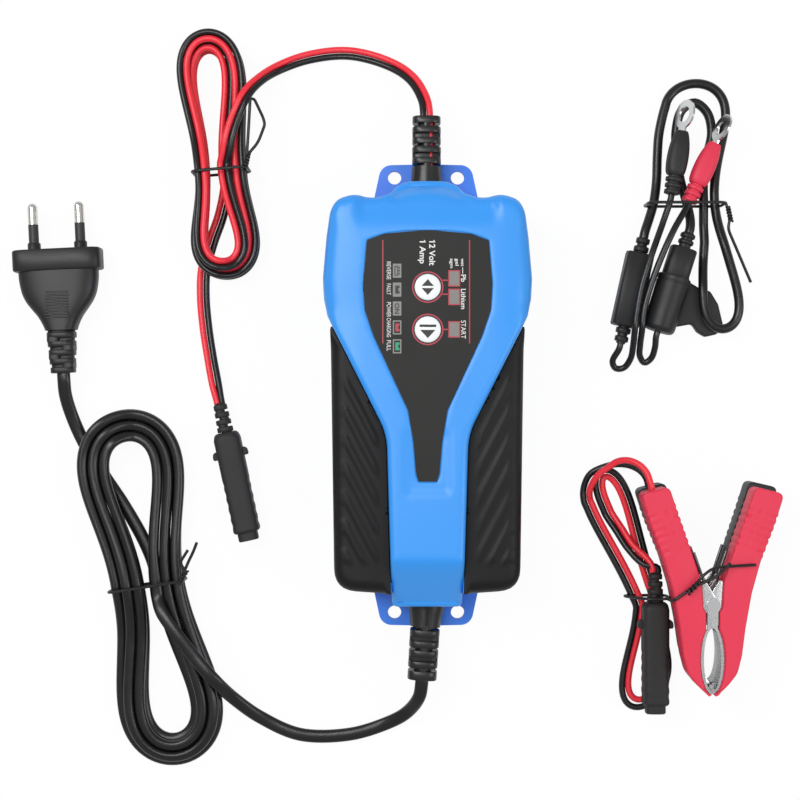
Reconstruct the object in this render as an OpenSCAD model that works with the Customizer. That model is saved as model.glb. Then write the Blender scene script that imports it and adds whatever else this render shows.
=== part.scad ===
// Battery charger for cars: housing with its electronics, mains lead, output lead and two
// adapter leads, one with spring clamps and one with ring terminals.
// Millimetres. +Y points from the mains end to the output end, +Z up from the bench.

/* [Housing] */
// Length of the housing between its end walls
body_l = 153; // [127:1:184]
// Width of the head, which carries the fascia
head_w = 80; // [66:1:96]
// Width of the lower body where it meets the head
waist_w = 75.5; // [64:0.5:92]
// Width of the lower body at the mains end
tail_w = 71.6; // [60:0.2:88]
// Length of the sides of the head
head_l = 46.5; // [40:0.5:56]
// Height of the head and the spine above the bench
head_h = 43; // [40:0.5:52]
// Height of the side panels above the bench
panel_h = 37; // [33:0.5:38]
// Height of the joint between the shells
base_h = 14; // [13:0.5:17]
// Wall thickness of both shells
wall = 2.2; // [1.8:0.1:2.7]
// Thickness of the soft side panels
panel_t = 1.8; // [1.4:0.1:2.2]

/* [Mounting tabs] */
// How far each tab reaches beyond its end wall
tab_reach = 16.5; // [14:0.5:20]
// Width of a tab at the end wall
tab_w = 43; // [40:1:50]
// Width of a tab at its free edge
tab_tip_w = 36; // [35:1:42]
// Thickness of a tab
tab_t = 3; // [2.5:0.5:4]
// Diameter of the screw holes in the tabs
tab_hole_d = 5.4; // [4.2:0.1:6.5]
// Distance between the two holes of a tab
tab_hole_pitch = 25.4; // [21:0.1:26]
// Distance from a hole's centre to the tab's edge
tab_hole_inset = 5.4; // [4.5:0.1:6.5]

/* [Spine and collars] */
// Width of the spine below the head
spine_w = 31; // [26:1:37]
// Width of the spine at the mains end
spine_tip_w = 27; // [24:1:30]
// Length of the slanted stretch from head to spine
yoke_l = 45; // [38:1:54]
// How far both collars reach beyond the end walls
collar_reach = 6; // [5:0.5:7]
// Height of the collars
collar_h = 26; // [24:0.5:30]

/* [Fascia] */
// Width of the fascia label
fascia_w = 49; // [46:1:54]
// Width of the label's narrow tail
fascia_tail_w = 9; // [7:0.5:12]
// Thickness of the label
label_t = 0.5; // [0.3:0.1:0.8]
// Diameter of both buttons
button_d = 10; // [8.5:0.1:12]
// Distance between the buttons
button_pitch = 16; // [14:0.5:19]
// Gap around a button in its hole
button_gap = 0.15; // [0.1:0.05:0.3]
// Travel of a button
button_travel = 0.5; // [0.3:0.1:0.6]

/* [Leads] */
// Width of the flat mains flex
mains_flex_w = 5.3; // [4.8:0.1:6]
// Thickness of the flat mains flex
mains_flex_t = 3.3; // [2.8:0.1:4]
// Diameter of the mains flex's equal round section in the hank
mains_strand_d = 3.9; // [3.4:0.1:4.2]
// Diameter of one wire of a red and black pair
wire_d = 2.6; // [2.2:0.1:2.8]
// Diameter of the jacketed flex of the eyelet lead
jacket_d = 3.8; // [3.2:0.1:4.1]
// Outer diameter of the two strain reliefs
relief_d = 11; // [9.2:0.2:13]

/* [Clamps] */
// Thickness of a clamp across its grips
clamp_t = 12.6; // [11:0.2:15]
// Diameter of the rivets
rivet_d = 3; // [2.5:0.1:3.6]
// Running gap of the moving jaws on their rivets
rivet_gap = 0.06; // [0.02:0.01:0.1]

/* [Hidden] */
$fn = 48;

// Housing places
end_y = body_l / 2;
floor_t = 2.5;
rim = panel_t + wall;
rim_h = 4;
edge_r = 5;
collar_w = 27;
head_foot_y = end_y - head_l;
yoke_foot_y = head_foot_y - yoke_l;
slope_l = 12;
collar_end = end_y + collar_reach;
gasket_w = 0.9;
gasket_t = 1;

// Housing screws, and the screws of both boards
screw_d = 3;
screw_head_d = 5.6;
screw_head_t = 1.6;
pilot_d = 2.5;
boss_d = 8;
head_boss = [head_w / 2 - 9.5, end_y - 12];
tail_boss = [tail_w / 2 - 9.5, -end_y + 12];
housing_screw_l = 12;
counterbore_h = 7;

// Boards
board_t = 1.6;
main_board_z = 8;
main_board = [50, body_l - 37];
stand_off = [main_board[0] / 2 - 4, main_board[1] / 2 - 4];
deck = main_board_z + board_t;
control_board = [42, 46];
control_y = 33;
control_z = 31.5;
control_deck = control_z + board_t;
control_post = [control_board[0] / 2 - 4, control_board[1] / 2 - 4];

// Head roof, buttons and lights
roof_t = 2;
recess_z = head_h - label_t;
roof_z = recess_z - roof_t;
mode_y = 40.7;
start_y = mode_y - button_pitch;
flange_d = button_d + 2.4;
flange_t = 1.1;
flange_gap = 0.3;
button_crown = 0.6;
button_foot = roof_z - flange_gap - flange_t;
plunger_d = 3.4;
plunger_gap = 0.1;
switch_h = 3.6;
switch_side = 6;
plunger_room = 0.6;
lens_gap = 0.05;
window_size = [4.4, 5.8];
window_x = 10;
window_ys = [mode_y + 3.3, mode_y - 3.7, start_y];
status_size = [3, 5.1];
status_x = -11.6;
status_ys = [for (i = [0:4]) 46.9 - 7.15 * i];

// Strain reliefs: each band as its start and end beyond the collar
relief_core_d = 7;
relief_neck_l = 9;
relief_bands = [[10, 15.6], [16.8, 22.4], [23.6, 27.5]];
mains_bands = [[11, 17.6], [18.8, 25], [26.8, 30]];
mains_relief_lean = 3.5;
relief_flange_d = 15;
relief_flange_t = 2.5;

// Wires of a pair lie side by side
pair_gap = 0.1;
pair_pitch = wire_d + pair_gap;
pair_w = pair_pitch + wire_d;

// Routes of the free stretches, each point chosen where the lead lies
mains_route = [
    [-2.9, -120, 12], [-8, -127.5, 6], [-16, -132.5, 2.2], [-31, -137, 1.7],
    [-51, -137, 1.7], [-67, -130, 1.8], [-77, -122, 5.5], [-84, -114, 10.9], [-93, -103.5, 11],
    [-101, -93, 11], [-105.5, -86.5, 10], [-107.5, -81, 7.6]
];
mains_tail_route = [
    [-110, -68, 2], [-114, -58.5, 1.75], [-122, -44.5, 1.7], [-130, -32.5, 1.7],
    [-138, -19.5, 1.7], [-142.5, -9, 3], [-144.8, 0, 5.5]
];
output_route = [
    [-0.8, 117, 12.8], [-5.5, 126, 9], [-14.5, 133, 4.5], [-31, 138, 1.5],
    [-47, 136.5, 1.5], [-59, 132, 3], [-66.5, 126, 9], [-71.5, 119.5, 13.6],
    [-75.5, 111, 14.2], [-78.4, 102, 14.2], [-79.8, 95.5, 12.9]
];
output_tail_route = [
    [-80.8, 82, 1.4], [-83, 72, 1.35], [-86.6, 61.8, 1.35], [-89.6, 50.5, 1.35],
    [-90, 40, 1.35], [-89, 28, 1.4], [-87, 15.5, 2.5], [-84.6, 4, 5]
];
red_handle_route = [
    [87.8, -34.2, 19.2], [86.6, -30.6, 18.4], [84, -27.6, 16.6], [80, -25.9, 14.2],
    [76, -26.4, 11.6], [72.6, -28.9, 9.4], [70.2, -32.5, 7.4], [68.3, -36.5, 5.4], [67.4, -40.2, 3.4]
];
black_handle_route = [
    [88.2, -33.4, 6.2], [86, -30.5, 5.7], [82, -28.4, 5.2], [77, -27.8, 4.7],
    [71.5, -28.9, 4.2], [66.6, -32.6, 2.8], [64.7, -38, 1.5]
];
clamp_tail_route = [[77.6, -54, 3.4], [82, -61, 6], [87.6, -66.6, 8.4]];
fuse_top_route = [
    [89.8, 71, 4], [91.6, 77, 3.4], [93, 86, 2.2], [93.4, 96, 1.9], [94, 105, 1.9]
];
connector_route = [
    [112, 68, 2.4], [111.8, 77, 3.4], [112, 87, 2.2], [113.6, 97, 1.9], [115.3, 106, 1.9],
    [113.5, 114, 1.9], [108.5, 118, 1.9], [103.3, 115, 1.9], [101, 107, 1.9], [101.2, 97, 1.9],
    [102.6, 87, 2.2], [104.9, 77, 4.2], [105.9, 70, 6.4]
];
left_boot_route = [
    [94.5, 69, 9.6], [90, 57, 11.8], [86, 45, 12.2], [83.6, 33, 12.2], [82.9, 26, 11.8],
    [82.8, 20, 8], [82.2, 14.5, 4.2], [79.8, 11, 2.2], [76.6, 10.8, 1.8], [75.2, 13.6, 2.8]
];
right_boot_route = [
    [98.5, 66, 12.4], [93, 54, 12.8], [88.7, 42, 12.2], [86.4, 33, 12.2], [85.8, 26, 11.6],
    [85.6, 20, 7.6], [86, 15.6, 4.4], [88, 13, 3.2], [90.6, 14.8, 4], [91.8, 19, 6]
];

// Hanks: centre of the waist, lean from +Y, half lengths above and below the waist
hank_rings = 24;
strand_gap = 0.5;
mains_hank_centre = [-110.5, -76];
mains_hank_lean = 9;
mains_hank_reach = [59, 62];
mains_hank_loops = 5;
mains_rise = mains_strand_d + strand_gap;
output_hank_centre = [-83.4, 89.2];
output_hank_lean = 4.8;
output_hank_reach = [50, 36];
output_hank_loops = 4;
output_rise = wire_d + strand_gap;
clamp_hank_centre = [90.9, -83];
clamp_hank_lean = 20.5;
clamp_hank_reach = [54, 34];
clamp_hank_loops = 1.01;
clamp_hank_start = 125;
clamp_hank_skew = -0.44;
eyelet_hank_centre = [113, 76];
eyelet_hank_lean = 6;
eyelet_hank_reach = [47, 49];
eyelet_hank_loops = 0.78;
eyelet_hank_start = 120;
eyelet_hank_skew = 0.02;
cover_t = 3.8;
tie_t = 1.2;
clamp_tie_below = [
    [80.2, -81, 2.4], [81.7, -81, 0.6], [95.8, -81, 0.6], [97, -81, 2.4], [97, -81, 11.6],
    [95.4, -80.8, 13.6], [95.2, -80.2, 24.6], [96.6, -79.6, 26.3], [104.3, -74, 26.6]
];
clamp_tie_above = [
    [80.2, -81, 2.4], [80.2, -81, 4.4], [87.4, -81, 13], [94, -81, 13], [95.4, -80.8, 13.6]
];
tie_tails = [
    [[104.3, -74, 26.6], [106.5, -70.5, 27.4], [111, -67, 27.6], [116, -66.6, 27.2], [127.6, -66, 26.7]],
    [[104.3, -74, 26.6], [107.4, -72.8, 27.8], [113, -69.8, 28.6], [117.5, -65.2, 28.2]],
    [[-97, -73.9, 12.4], [-95.5, -70, 13.6], [-97.8, -66.5, 13], [-94.6, -61.5, 13.6]],
    [[-71.2, 90, 15.6], [-70, 95, 16.2], [-67.6, 101, 16], [-66, 105, 14], [-67.4, 98, 13]],
    [[118.8, 76.3, 12.6], [120.6, 71, 13.4], [119.6, 66, 13.2], [124, 57, 11], [129.6, 45, 9]]
];
lead_l = 2.5;

// Plug and connectors
plug_at = [-147.7, 58.3, 6.85];
plug_lean = 2.76;
plug_end = -50;
output_connector_at = [-82.9, -3.6, 5.4];
output_connector_lean = 12.2;
clamp_connector_at = [91.4, -71, 9.2];
eyelet_connector_at = [105, 64.5, 7.3];
eyelet_connector_lean = -17.5;
fuse_holder_at = [82.8, 42.2, 5];
fuse_holder_lean = -12.4;
black_boot_at = [97.8, 80, 9.6];
black_boot_lean = 170.4;
red_boot_at = [104.8, 76.9, 9.6];
red_boot_lean = 156;

// Clamps
clamp_gap = 0.3;
black_clamp_at = [112.6, -80.5, 0];
black_clamp_lean = 1;
red_clamp_at = [111.4, -81.8, clamp_t + clamp_gap];
plate_t = 1;
ear_d = 6;
plate_inset = 0.6;
inner_plate_inset = plate_inset + plate_t + 0.1;
mouth = [3.5, 12.3];
mouth_y = -21.5;
jaw_t = 1.2;
jaw_split = 0.15;
jaw_top_y = -11;

// ---------------------------------------------------------------- shared shapes

// A prism whose top edge is rounded off in two facets
module soft_prism(h, r) {
    hull() {
        linear_extrude(h - r) children();
        linear_extrude(h - 0.3 * r) offset(delta = -0.3 * r) children();
        linear_extrude(h) offset(delta = -r) children();
    }
}

// A round bar along +Y
module bar_y(d, l) {
    rotate([-90, 0, 0]) cylinder(d = d, h = l);
}

// A bar with rounded corners along +Y, as wide as x and as high as z
module block_y(x, z, l, r) {
    rotate([-90, 0, 0]) linear_extrude(l) offset(r = r) square([x - 2 * r, z - 2 * r], center = true);
}

// A bent wire: straight rods with round joints
module bent_wire(points, d) {
    for (i = [0:len(points) - 1]) translate(points[i]) sphere(d = d);
    for (i = [0:len(points) - 2]) rod(points[i], points[i + 1], d);
}

module rod(a, b, d) {
    v = b - a;
    translate(a)
        rotate([0, acos(v[2] / norm(v)), atan2(v[1], v[0])])
            cylinder(d = d, h = norm(v));
}

// Direction of a path at point i, flat on the bench
function heading(path, i) =
    let (a = path[max(i - 1, 0)], b = path[min(i + 1, len(path) - 1)], v = [b[0] - a[0], b[1] - a[1]])
    v / norm(v);

// A flex swept along a path: w wide on the bench and t high, with a flat on top and below
module flex(path, w, t, sides) {
    last = len(path) - 1;
    phase = sides % 4 == 0 ? 0.5 : 0;
    grow = sides % 4 == 0 ? 1 / cos(180 / sides) : 1;
    rings = [for (i = [0:last], s = [0:sides - 1])
        let (a = 360 * (s + phase) / sides, h = heading(path, i))
        path[i] + grow * [-h[1] * cos(a) * w / 2, h[0] * cos(a) * w / 2, sin(a) * t / 2]];
    walls = [for (i = [0:last - 1], s = [0:sides - 1])
        let (p = i * sides + s, q = i * sides + (s + 1) % sides)
        each [[p, q, q + sides], [p, q + sides, p + sides]]];
    caps = [for (s = [1:sides - 2]) each [
        [0, s + 1, s],
        [last * sides, last * sides + s, last * sides + s + 1]]];
    polyhedron(points = rings, faces = concat(walls, caps));
}

// Last stretch that runs level into a path's start, and first one out of its end
function lead_in(path) =
    let (h = heading(path, 0))
    [path[0] - lead_l * [h[0], h[1], 0], path[0]];

function lead_out(path) =
    let (n = len(path) - 1, h = heading(path, n))
    [path[n], path[n] + lead_l * [h[0], h[1], 0]];

// Point on the axis of a piece placed at a point with a lean
function along(at, lean, y) = at + y * [-sin(lean), cos(lean), 0];

// Middle of two paths that run side by side
function between(a, b) = [for (i = [0:len(a) - 1]) (a[i] + b[i]) / 2];

// Base loop of a hank at angle a: a drawn-in waist with a lobe above and below
function hank_base(a, waist, bulge, reach) =
    let (side = sin(a) > 0 ? 0 : 1)
    [cos(a) * (waist + bulge[side] * sin(a) * sin(a)), reach[side] * sin(a)];

function hank_normal(a, waist, bulge, reach) =
    let (
        side = sin(a) > 0 ? 0 : 1,
        dx = sin(a) * (2 * bulge[side] * cos(a) * cos(a) - waist - bulge[side] * sin(a) * sin(a)),
        dy = reach[side] * cos(a)
    )
    [dy, -dx] / norm([dx, dy]);

// How far out a strand lies after t loops: out and in again, one pass to a layer
function hank_offset(t, loops, layers) =
    layers == 0 ? loops - t :
    let (pass = loops / layers, p = t / pass % 2)
    pass * (p < 1 ? p : 2 - p);

// How many layers a strand has come down after t loops; it drops in the turn where the pass ends
function hank_drop(t, loops, layers) =
    layers == 0 ? 0 :
    let (pass = loops / layers)
    total([for (k = [1:1:layers - 1]) smooth_step((t - k * pass) * 2 + 0.5)]);

function total(v, i = 0) = i < len(v) ? v[i] + total(v, i + 1) : 0;

function smooth_step(x) = let (c = min(max(x, 0), 1)) c * c * (3 - 2 * c);

// Rises from 0 to 1 and falls back between two angles
function window(a, from, to, ramp) =
    smooth_step((a - from) / ramp + 1) * smooth_step((to - a) / ramp + 1);

// Path of a hank's strand; shift moves one wire of a pair beside the other
function hank_path(centre, lean, reach, waist, bulge, loops, layers, step, rise, low,
        start, turn, shift = 0, skew = 0, hump = [0, 0, 0]) =
    [for (i = [0:round(hank_rings * loops)])
        let (
            t = i / hank_rings,
            a = start + turn * 360 * t,
            wrapped = (a % 360 + 360) % 360,
            p = hank_base(a, waist, bulge, reach)
                + hank_normal(a, waist, bulge, reach) * (step * hank_offset(t, loops, layers) + shift),
            x = p[0] - skew * min(p[1], 0),
            tie_lift = tie_t * pow(abs(cos(a)), 12),
            z = low + rise * (max(layers, 1) - 1 - hank_drop(t, loops, layers))
                + hump[2] * window(wrapped, hump[0], hump[1], 22) + tie_lift
        )
        [
            centre[0] + x * cos(lean) - p[1] * sin(lean),
            centre[1] + x * sin(lean) + p[1] * cos(lean),
            z
        ]];

// Least gap between strands of a hank that are more than a third of a loop apart
function least_gap(path, d) =
    min([for (i = [0:len(path) - 1], j = [i + 8:1:len(path) - 1]) norm(path[i] - path[j])]) - d;

mains_hank_path = hank_path(mains_hank_centre, mains_hank_lean, mains_hank_reach, 2.3, [20, 20],
    mains_hank_loops, 2, mains_strand_d + strand_gap, mains_rise, mains_strand_d / 2, 0, 1,
    hump = [105, 178, mains_flex_t + 0.5]);

function output_hank_path(side) = hank_path(output_hank_centre, output_hank_lean,
    output_hank_reach, 3, [12, 12], output_hank_loops, 4, pair_w + strand_gap, output_rise,
    wire_d / 2, 0, -1, shift = side * pair_pitch / 2, hump = [182, 262, wire_d + 0.5]);

function clamp_hank_path(side) = hank_path(clamp_hank_centre, clamp_hank_lean,
    clamp_hank_reach, 0.2, [10, 13], clamp_hank_loops, 0, pair_w + strand_gap, 0, wire_d / 2,
    clamp_hank_start, 1, shift = side * pair_pitch / 2, skew = clamp_hank_skew);

eyelet_hank_path = hank_path(eyelet_hank_centre, eyelet_hank_lean, eyelet_hank_reach, 1.5, [22, 14],
    eyelet_hank_loops, 0, jacket_d + strand_gap, 0, jacket_d / 2, eyelet_hank_start, -1,
    skew = eyelet_hank_skew, hump = [225, 336, cover_t + 0.6]);

// ---------------------------------------------------------------- outlines of the housing

module head_outline(inset = 0) {
    h = head_w / 2;
    half = [
        [0, end_y], [h - 19, end_y - 1.5], [h - 12, end_y], [h - 5.5, end_y - 2], [h - 3, end_y - 6],
        [h - 1.4, end_y - 16], [h, end_y - 32], [h - 0.4, end_y - 40], [h - 1.8, head_foot_y]
    ];
    other = [for (i = [len(half) - 1:-1:1]) [-half[i][0], half[i][1]]];
    offset(delta = -inset) polygon(concat(half, other));
}

module lower_outline(inset = 0) {
    corner_r = 8;
    offset(delta = -inset) offset(r = corner_r, $fn = 32) offset(delta = -corner_r) polygon([
        [waist_w / 2, head_foot_y + 12], [tail_w / 2, -end_y + 1.5], [spine_w / 2, -end_y],
        [-spine_w / 2, -end_y], [-tail_w / 2, -end_y + 1.5], [-waist_w / 2, head_foot_y + 12]
    ]);
}

module body_outline(inset = 0) {
    head_outline(inset);
    lower_outline(inset);
}

// Slanted part below the head; it runs on into the head
module yoke_outline(inset = 0) {
    top = head_w / 2 - 1.8;
    offset(delta = -inset) polygon([
        [top - 3, head_foot_y + 18], [top, head_foot_y], [spine_w / 2, yoke_foot_y],
        [-spine_w / 2, yoke_foot_y], [-top, head_foot_y], [3 - top, head_foot_y + 18]
    ]);
}

// Spine down to a foot; it runs on into the slanted part
module spine_outline(inset, foot_y) {
    offset(delta = -inset) polygon([
        [spine_w / 2, yoke_foot_y + 16], [spine_w / 2, yoke_foot_y], [spine_tip_w / 2, foot_y],
        [-spine_tip_w / 2, foot_y], [-spine_w / 2, yoke_foot_y], [-spine_w / 2, yoke_foot_y + 16]
    ]);
}

module hollow_outline() {
    offset(delta = -rim) {
        head_outline();
        yoke_outline();
        spine_outline(0, -end_y + slope_l);
    }
}

module blue_outline() {
    head_outline();
    yoke_outline();
    spine_outline(0, -collar_end);
}

module collar_outline(y_sign) {
    w = collar_w / 2;
    polygon([
        [w, y_sign * (end_y - 4)], [w, y_sign * (end_y + 1)], [w - 5, y_sign * collar_end],
        [5 - w, y_sign * collar_end], [-w, y_sign * (end_y + 1)], [-w, y_sign * (end_y - 4)]
    ]);
}

module tab_outline(y_sign) {
    corner_r = 5;
    tip = end_y + tab_reach;
    offset(r = corner_r, $fn = 32) offset(delta = -corner_r) polygon([
        [tab_w / 2 + 2, y_sign * (end_y - 14)], [tab_w / 2, y_sign * end_y],
        [tab_tip_w / 2, y_sign * (tip - 0.4)], [0, y_sign * tip],
        [-tab_tip_w / 2, y_sign * (tip - 0.4)], [-tab_w / 2, y_sign * end_y],
        [-tab_w / 2 - 2, y_sign * (end_y - 14)]
    ]);
}

module tab_holes() {
    for (x = [-1, 1], y = [-1, 1])
        translate([x * tab_hole_pitch / 2, y * (end_y + tab_reach - tab_hole_inset), -1])
            cylinder(d = tab_hole_d, h = tab_t + 2);
}

// The four places of the housing screws
module at_housing_screws() {
    for (p = [head_boss, tail_boss], x = [-1, 1]) translate([x * p[0], p[1], 0]) children();
}

module at_main_board_screws() {
    for (x = [-1, 1], y = [-1, 1]) translate([x * stand_off[0], y * stand_off[1], 0]) children();
}

module at_control_board_screws() {
    for (x = [-1, 1], y = [-1, 1])
        translate([x * control_post[0], control_y + y * control_post[1], 0]) children();
}

// Bores for both strain reliefs through the end walls and collars
module relief_seats() {
    for (y = [-1, 1]) {
        translate([0, y > 0 ? end_y - rim : -collar_end - 1, base_h])
            bar_y(relief_d, rim + collar_reach + 1);
        translate([0, y > 0 ? end_y - rim - relief_flange_t - 2 : -end_y + rim, base_h])
            bar_y(relief_flange_d + 0.4, relief_flange_t + 2);
    }
}

// ---------------------------------------------------------------- housing

module bottom_shell() {
    color("royalblue") difference() {
        union() {
            difference() {
                linear_extrude(base_h) {
                    body_outline();
                    collar_outline(1);
                    collar_outline(-1);
                }
                translate([0, 0, floor_t]) linear_extrude(base_h) body_outline(rim);
                translate([0, 0, floor_t])
                    linear_extrude(base_h - rim_h - floor_t) body_outline(wall);
            }
            linear_extrude(tab_t) tab_outline(1);
            linear_extrude(tab_t) tab_outline(-1);
            at_housing_screws() cylinder(d = boss_d, h = base_h);
            at_main_board_screws() cylinder(d = 6, h = main_board_z);
        }
        tab_holes();
        at_housing_screws() {
            translate([0, 0, -1]) cylinder(d = screw_d + 0.4, h = base_h + 2);
            translate([0, 0, -1]) cylinder(d = screw_head_d + 0.4, h = counterbore_h + 1);
        }
        at_main_board_screws() translate([0, 0, floor_t - 0.5]) cylinder(d = pilot_d, h = base_h);
        relief_seats();
        gasket_groove();
    }
}

module gasket_ring(h) {
    linear_extrude(h) difference() {
        body_outline(panel_t + 0.6);
        body_outline(panel_t + 0.6 + gasket_w);
    }
}

module gasket_groove() {
    translate([0, 0, base_h - gasket_t / 2]) gasket_ring(gasket_t);
}

module housing_gasket() {
    color("dimgray") difference() {
        gasket_groove();
        relief_seats();
    }
}

module top_shell() {
    color("dodgerblue") difference() {
        union() {
            difference() {
                top_shell_outside();
                translate([0, 0, base_h - 1]) {
                    linear_extrude(panel_h - rim - base_h + 1) body_outline(rim);
                    linear_extrude(roof_z - base_h + 1) hollow_outline();
                }
            }
            for (p = [[head_boss, roof_z], [tail_boss, panel_h - rim]], x = [-1, 1])
                translate([x * p[0][0], p[0][1], base_h]) cylinder(d = boss_d, h = p[1] - base_h + 0.5);
            at_control_board_screws() translate([0, 0, control_deck])
                cylinder(d = 5, h = roof_z - control_deck + 0.5);
        }
        at_housing_screws() translate([0, 0, base_h - 1])
            cylinder(d = pilot_d, h = housing_screw_l);
        at_control_board_screws() translate([0, 0, control_deck - 1]) cylinder(d = pilot_d, h = 6);
        relief_seats();
        gasket_groove();
        fascia_recess();
        for (y = [mode_y, start_y])
            translate([0, y, roof_z - 1]) cylinder(d = button_d + 2 * button_gap, h = roof_t + 2);
        light_blocks(lens_gap, roof_z - 1, roof_t + 3);
    }
}

module top_shell_outside() {
    translate([0, 0, base_h]) {
        soft_prism(head_h - base_h, edge_r) head_outline();
        soft_prism(head_h - base_h, edge_r) yoke_outline();
        linear_extrude(panel_h - panel_t - base_h) lower_outline(panel_t);
        soft_prism(collar_h - base_h, 3) collar_outline(1);
    }
    spine();
}

// Spine with the end that slopes down to the collar over the mains lead
module spine() {
    translate([0, 0, base_h]) hull() {
        linear_extrude(collar_h - base_h) spine_outline(0, -collar_end);
        linear_extrude(head_h - base_h - edge_r) spine_outline(0, -end_y + slope_l / 2);
        linear_extrude(head_h - base_h) spine_outline(edge_r / 2, -end_y + slope_l);
    }
}

module side_panel(side) {
    color([0.17, 0.17, 0.17]) difference() {
        translate([0, 0, base_h]) soft_prism(panel_h - base_h, edge_r) lower_outline();
        translate([0, 0, base_h - 1]) linear_extrude(panel_h - panel_t - base_h + 1) lower_outline(panel_t);
        translate([0, 0, base_h - 1]) linear_extrude(head_h) blue_outline();
        translate([side > 0 ? -head_w : 0, -body_l, 0]) cube([head_w, 2 * body_l, head_h]);
    }
}

// ---------------------------------------------------------------- fascia, buttons and lights

// Outline of the label: wide over the head, slanted to a narrow tail on the spine
module fascia_outline(inset = 0) {
    w = fascia_w / 2;
    n = fascia_tail_w / 2;
    half = [
        [0, 62.5], [w - 8, 61], [w - 1.4, 58.5], [w, 42], [w - 0.6, 32], [w - 4, 22], [n + 3, -6],
        [n + 1, -18], [n, -30], [n - 1, -33]
    ];
    other = [for (i = [len(half) - 1:-1:1]) [-half[i][0], half[i][1]]];
    offset(delta = -inset) polygon(concat(half, other));
}

module fascia_recess() {
    translate([0, 0, recess_z]) linear_extrude(label_t + 1) fascia_outline();
}

// A block in every light window, grown by a gap
module light_blocks(gap, low, h) {
    for (y = window_ys)
        translate([window_x - window_size[0] / 2 - gap, y - window_size[1] / 2 - gap, low])
            cube([window_size[0] + 2 * gap, window_size[1] + 2 * gap, h]);
    for (y = status_ys)
        translate([status_x - status_size[0] / 2 - gap, y - status_size[1] / 2 - gap, low])
            cube([status_size[0] + 2 * gap, status_size[1] + 2 * gap, h]);
}

module fascia_label() {
    color([0.2, 0.2, 0.2]) difference() {
        translate([0, 0, recess_z]) linear_extrude(label_t) fascia_outline(0.1);
        for (y = [mode_y, start_y])
            translate([0, y, recess_z - 1]) cylinder(d = button_d + 2 * button_gap, h = label_t + 2);
        light_blocks(lens_gap, recess_z - 1, label_t + 2);
    }
}

module button(y) {
    translate([0, y, button_foot]) {
        cylinder(d = button_d, h = head_h + button_crown - button_foot);
        cylinder(d = flange_d, h = flange_t);
    }
}

module mode_button() {
    color("white") button(mode_y);
}

module start_button() {
    color("white") button(start_y);
}

module switch_plunger(y) {
    translate([0, y, control_deck + switch_h - plunger_room])
        cylinder(d = plunger_d, h = button_foot - control_deck - switch_h + plunger_room);
}

module mode_switch_plunger() {
    color("black") switch_plunger(mode_y);
}

module start_switch_plunger() {
    color("black") switch_plunger(start_y);
}

module switch_bodies() {
    color([0.3, 0.3, 0.32]) for (y = [mode_y, start_y])
        translate([0, y, control_deck]) difference() {
            translate([-switch_side / 2, -switch_side / 2, 0]) cube([switch_side, switch_side, switch_h]);
            translate([0, 0, switch_h - plunger_room - button_travel - 0.1])
                cylinder(d = plunger_d + 2 * plunger_gap, h = switch_h);
        }
}

module light_lenses() {
    color("lightgray") light_blocks(0, roof_z, head_h - roof_z);
}

// ---------------------------------------------------------------- screws and strain reliefs

module screw(l) {
    cylinder(d = screw_head_d, h = screw_head_t);
    translate([0, 0, screw_head_t]) cylinder(d = pilot_d, h = l);
}

module self_tapping_screws() {
    color("silver") {
        at_housing_screws() translate([0, 0, counterbore_h - screw_head_t])
            screw(base_h - counterbore_h + housing_screw_l - 2);
        at_main_board_screws() translate([0, 0, deck + screw_head_t]) mirror([0, 0, 1])
            screw(deck - floor_t + 0.3);
        at_control_board_screws() translate([0, 0, control_z - screw_head_t]) screw(board_t + 4.8);
    }
}

// Moulded strain relief along +Y from the inner side of an end wall; bands are past its neck
module strain_relief(bands, lean) {
    wall_l = rim + collar_reach;
    translate([0, -wall_l - relief_flange_t, 0]) bar_y(relief_flange_d, relief_flange_t);
    translate([0, -wall_l, 0]) bar_y(relief_d, wall_l);
    rotate([0, 0, lean]) {
        translate([0, -1, 0]) bar_y(relief_d - 0.4, relief_neck_l + 1);
        bar_y(relief_core_d, bands[len(bands) - 1][1]);
        for (b = bands) translate([0, b[0], 0]) bar_y(relief_d, b[1] - b[0]);
    }
}

module output_strain_relief() {
    color([0.13, 0.13, 0.13]) translate([0, collar_end, base_h]) strain_relief(relief_bands, 0);
}

module mains_strain_relief() {
    color([0.13, 0.13, 0.13]) translate([0, -collar_end, base_h]) mirror([0, 1, 0])
        strain_relief(mains_bands, mains_relief_lean);
}

// ---------------------------------------------------------------- boards and what they carry

module main_board() {
    color("darkgreen") difference() {
        translate([-main_board[0] / 2, -main_board[1] / 2, main_board_z])
            cube([main_board[0], main_board[1], board_t]);
        at_main_board_screws() cylinder(d = screw_d + 0.2, h = base_h);
    }
}

module control_board() {
    color("green") difference() {
        translate([-control_board[0] / 2, control_y - control_board[1] / 2, control_z])
            cube([control_board[0], control_board[1], board_t]);
        at_control_board_screws() cylinder(d = screw_d + 0.2, h = head_h);
    }
}

// Header that joins the boards: plastic socket below, row of pins above
module board_link() {
    pins = 6;
    pitch = 2.54;
    color("black") translate([-2, 47, deck]) {
        cube([pins * pitch, 2.5, 11]);
        for (i = [0:pins - 1]) translate([(i + 0.5) * pitch - 0.35, 0.9, 11])
            cube([0.7, 0.7, control_z - deck - 11]);
    }
}

core_at = [-9, -1, 0];
core_size = [26, 22, 21];
leg_d = 7.6;
yoke_t = 4;
window_w = 5.4;

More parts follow.
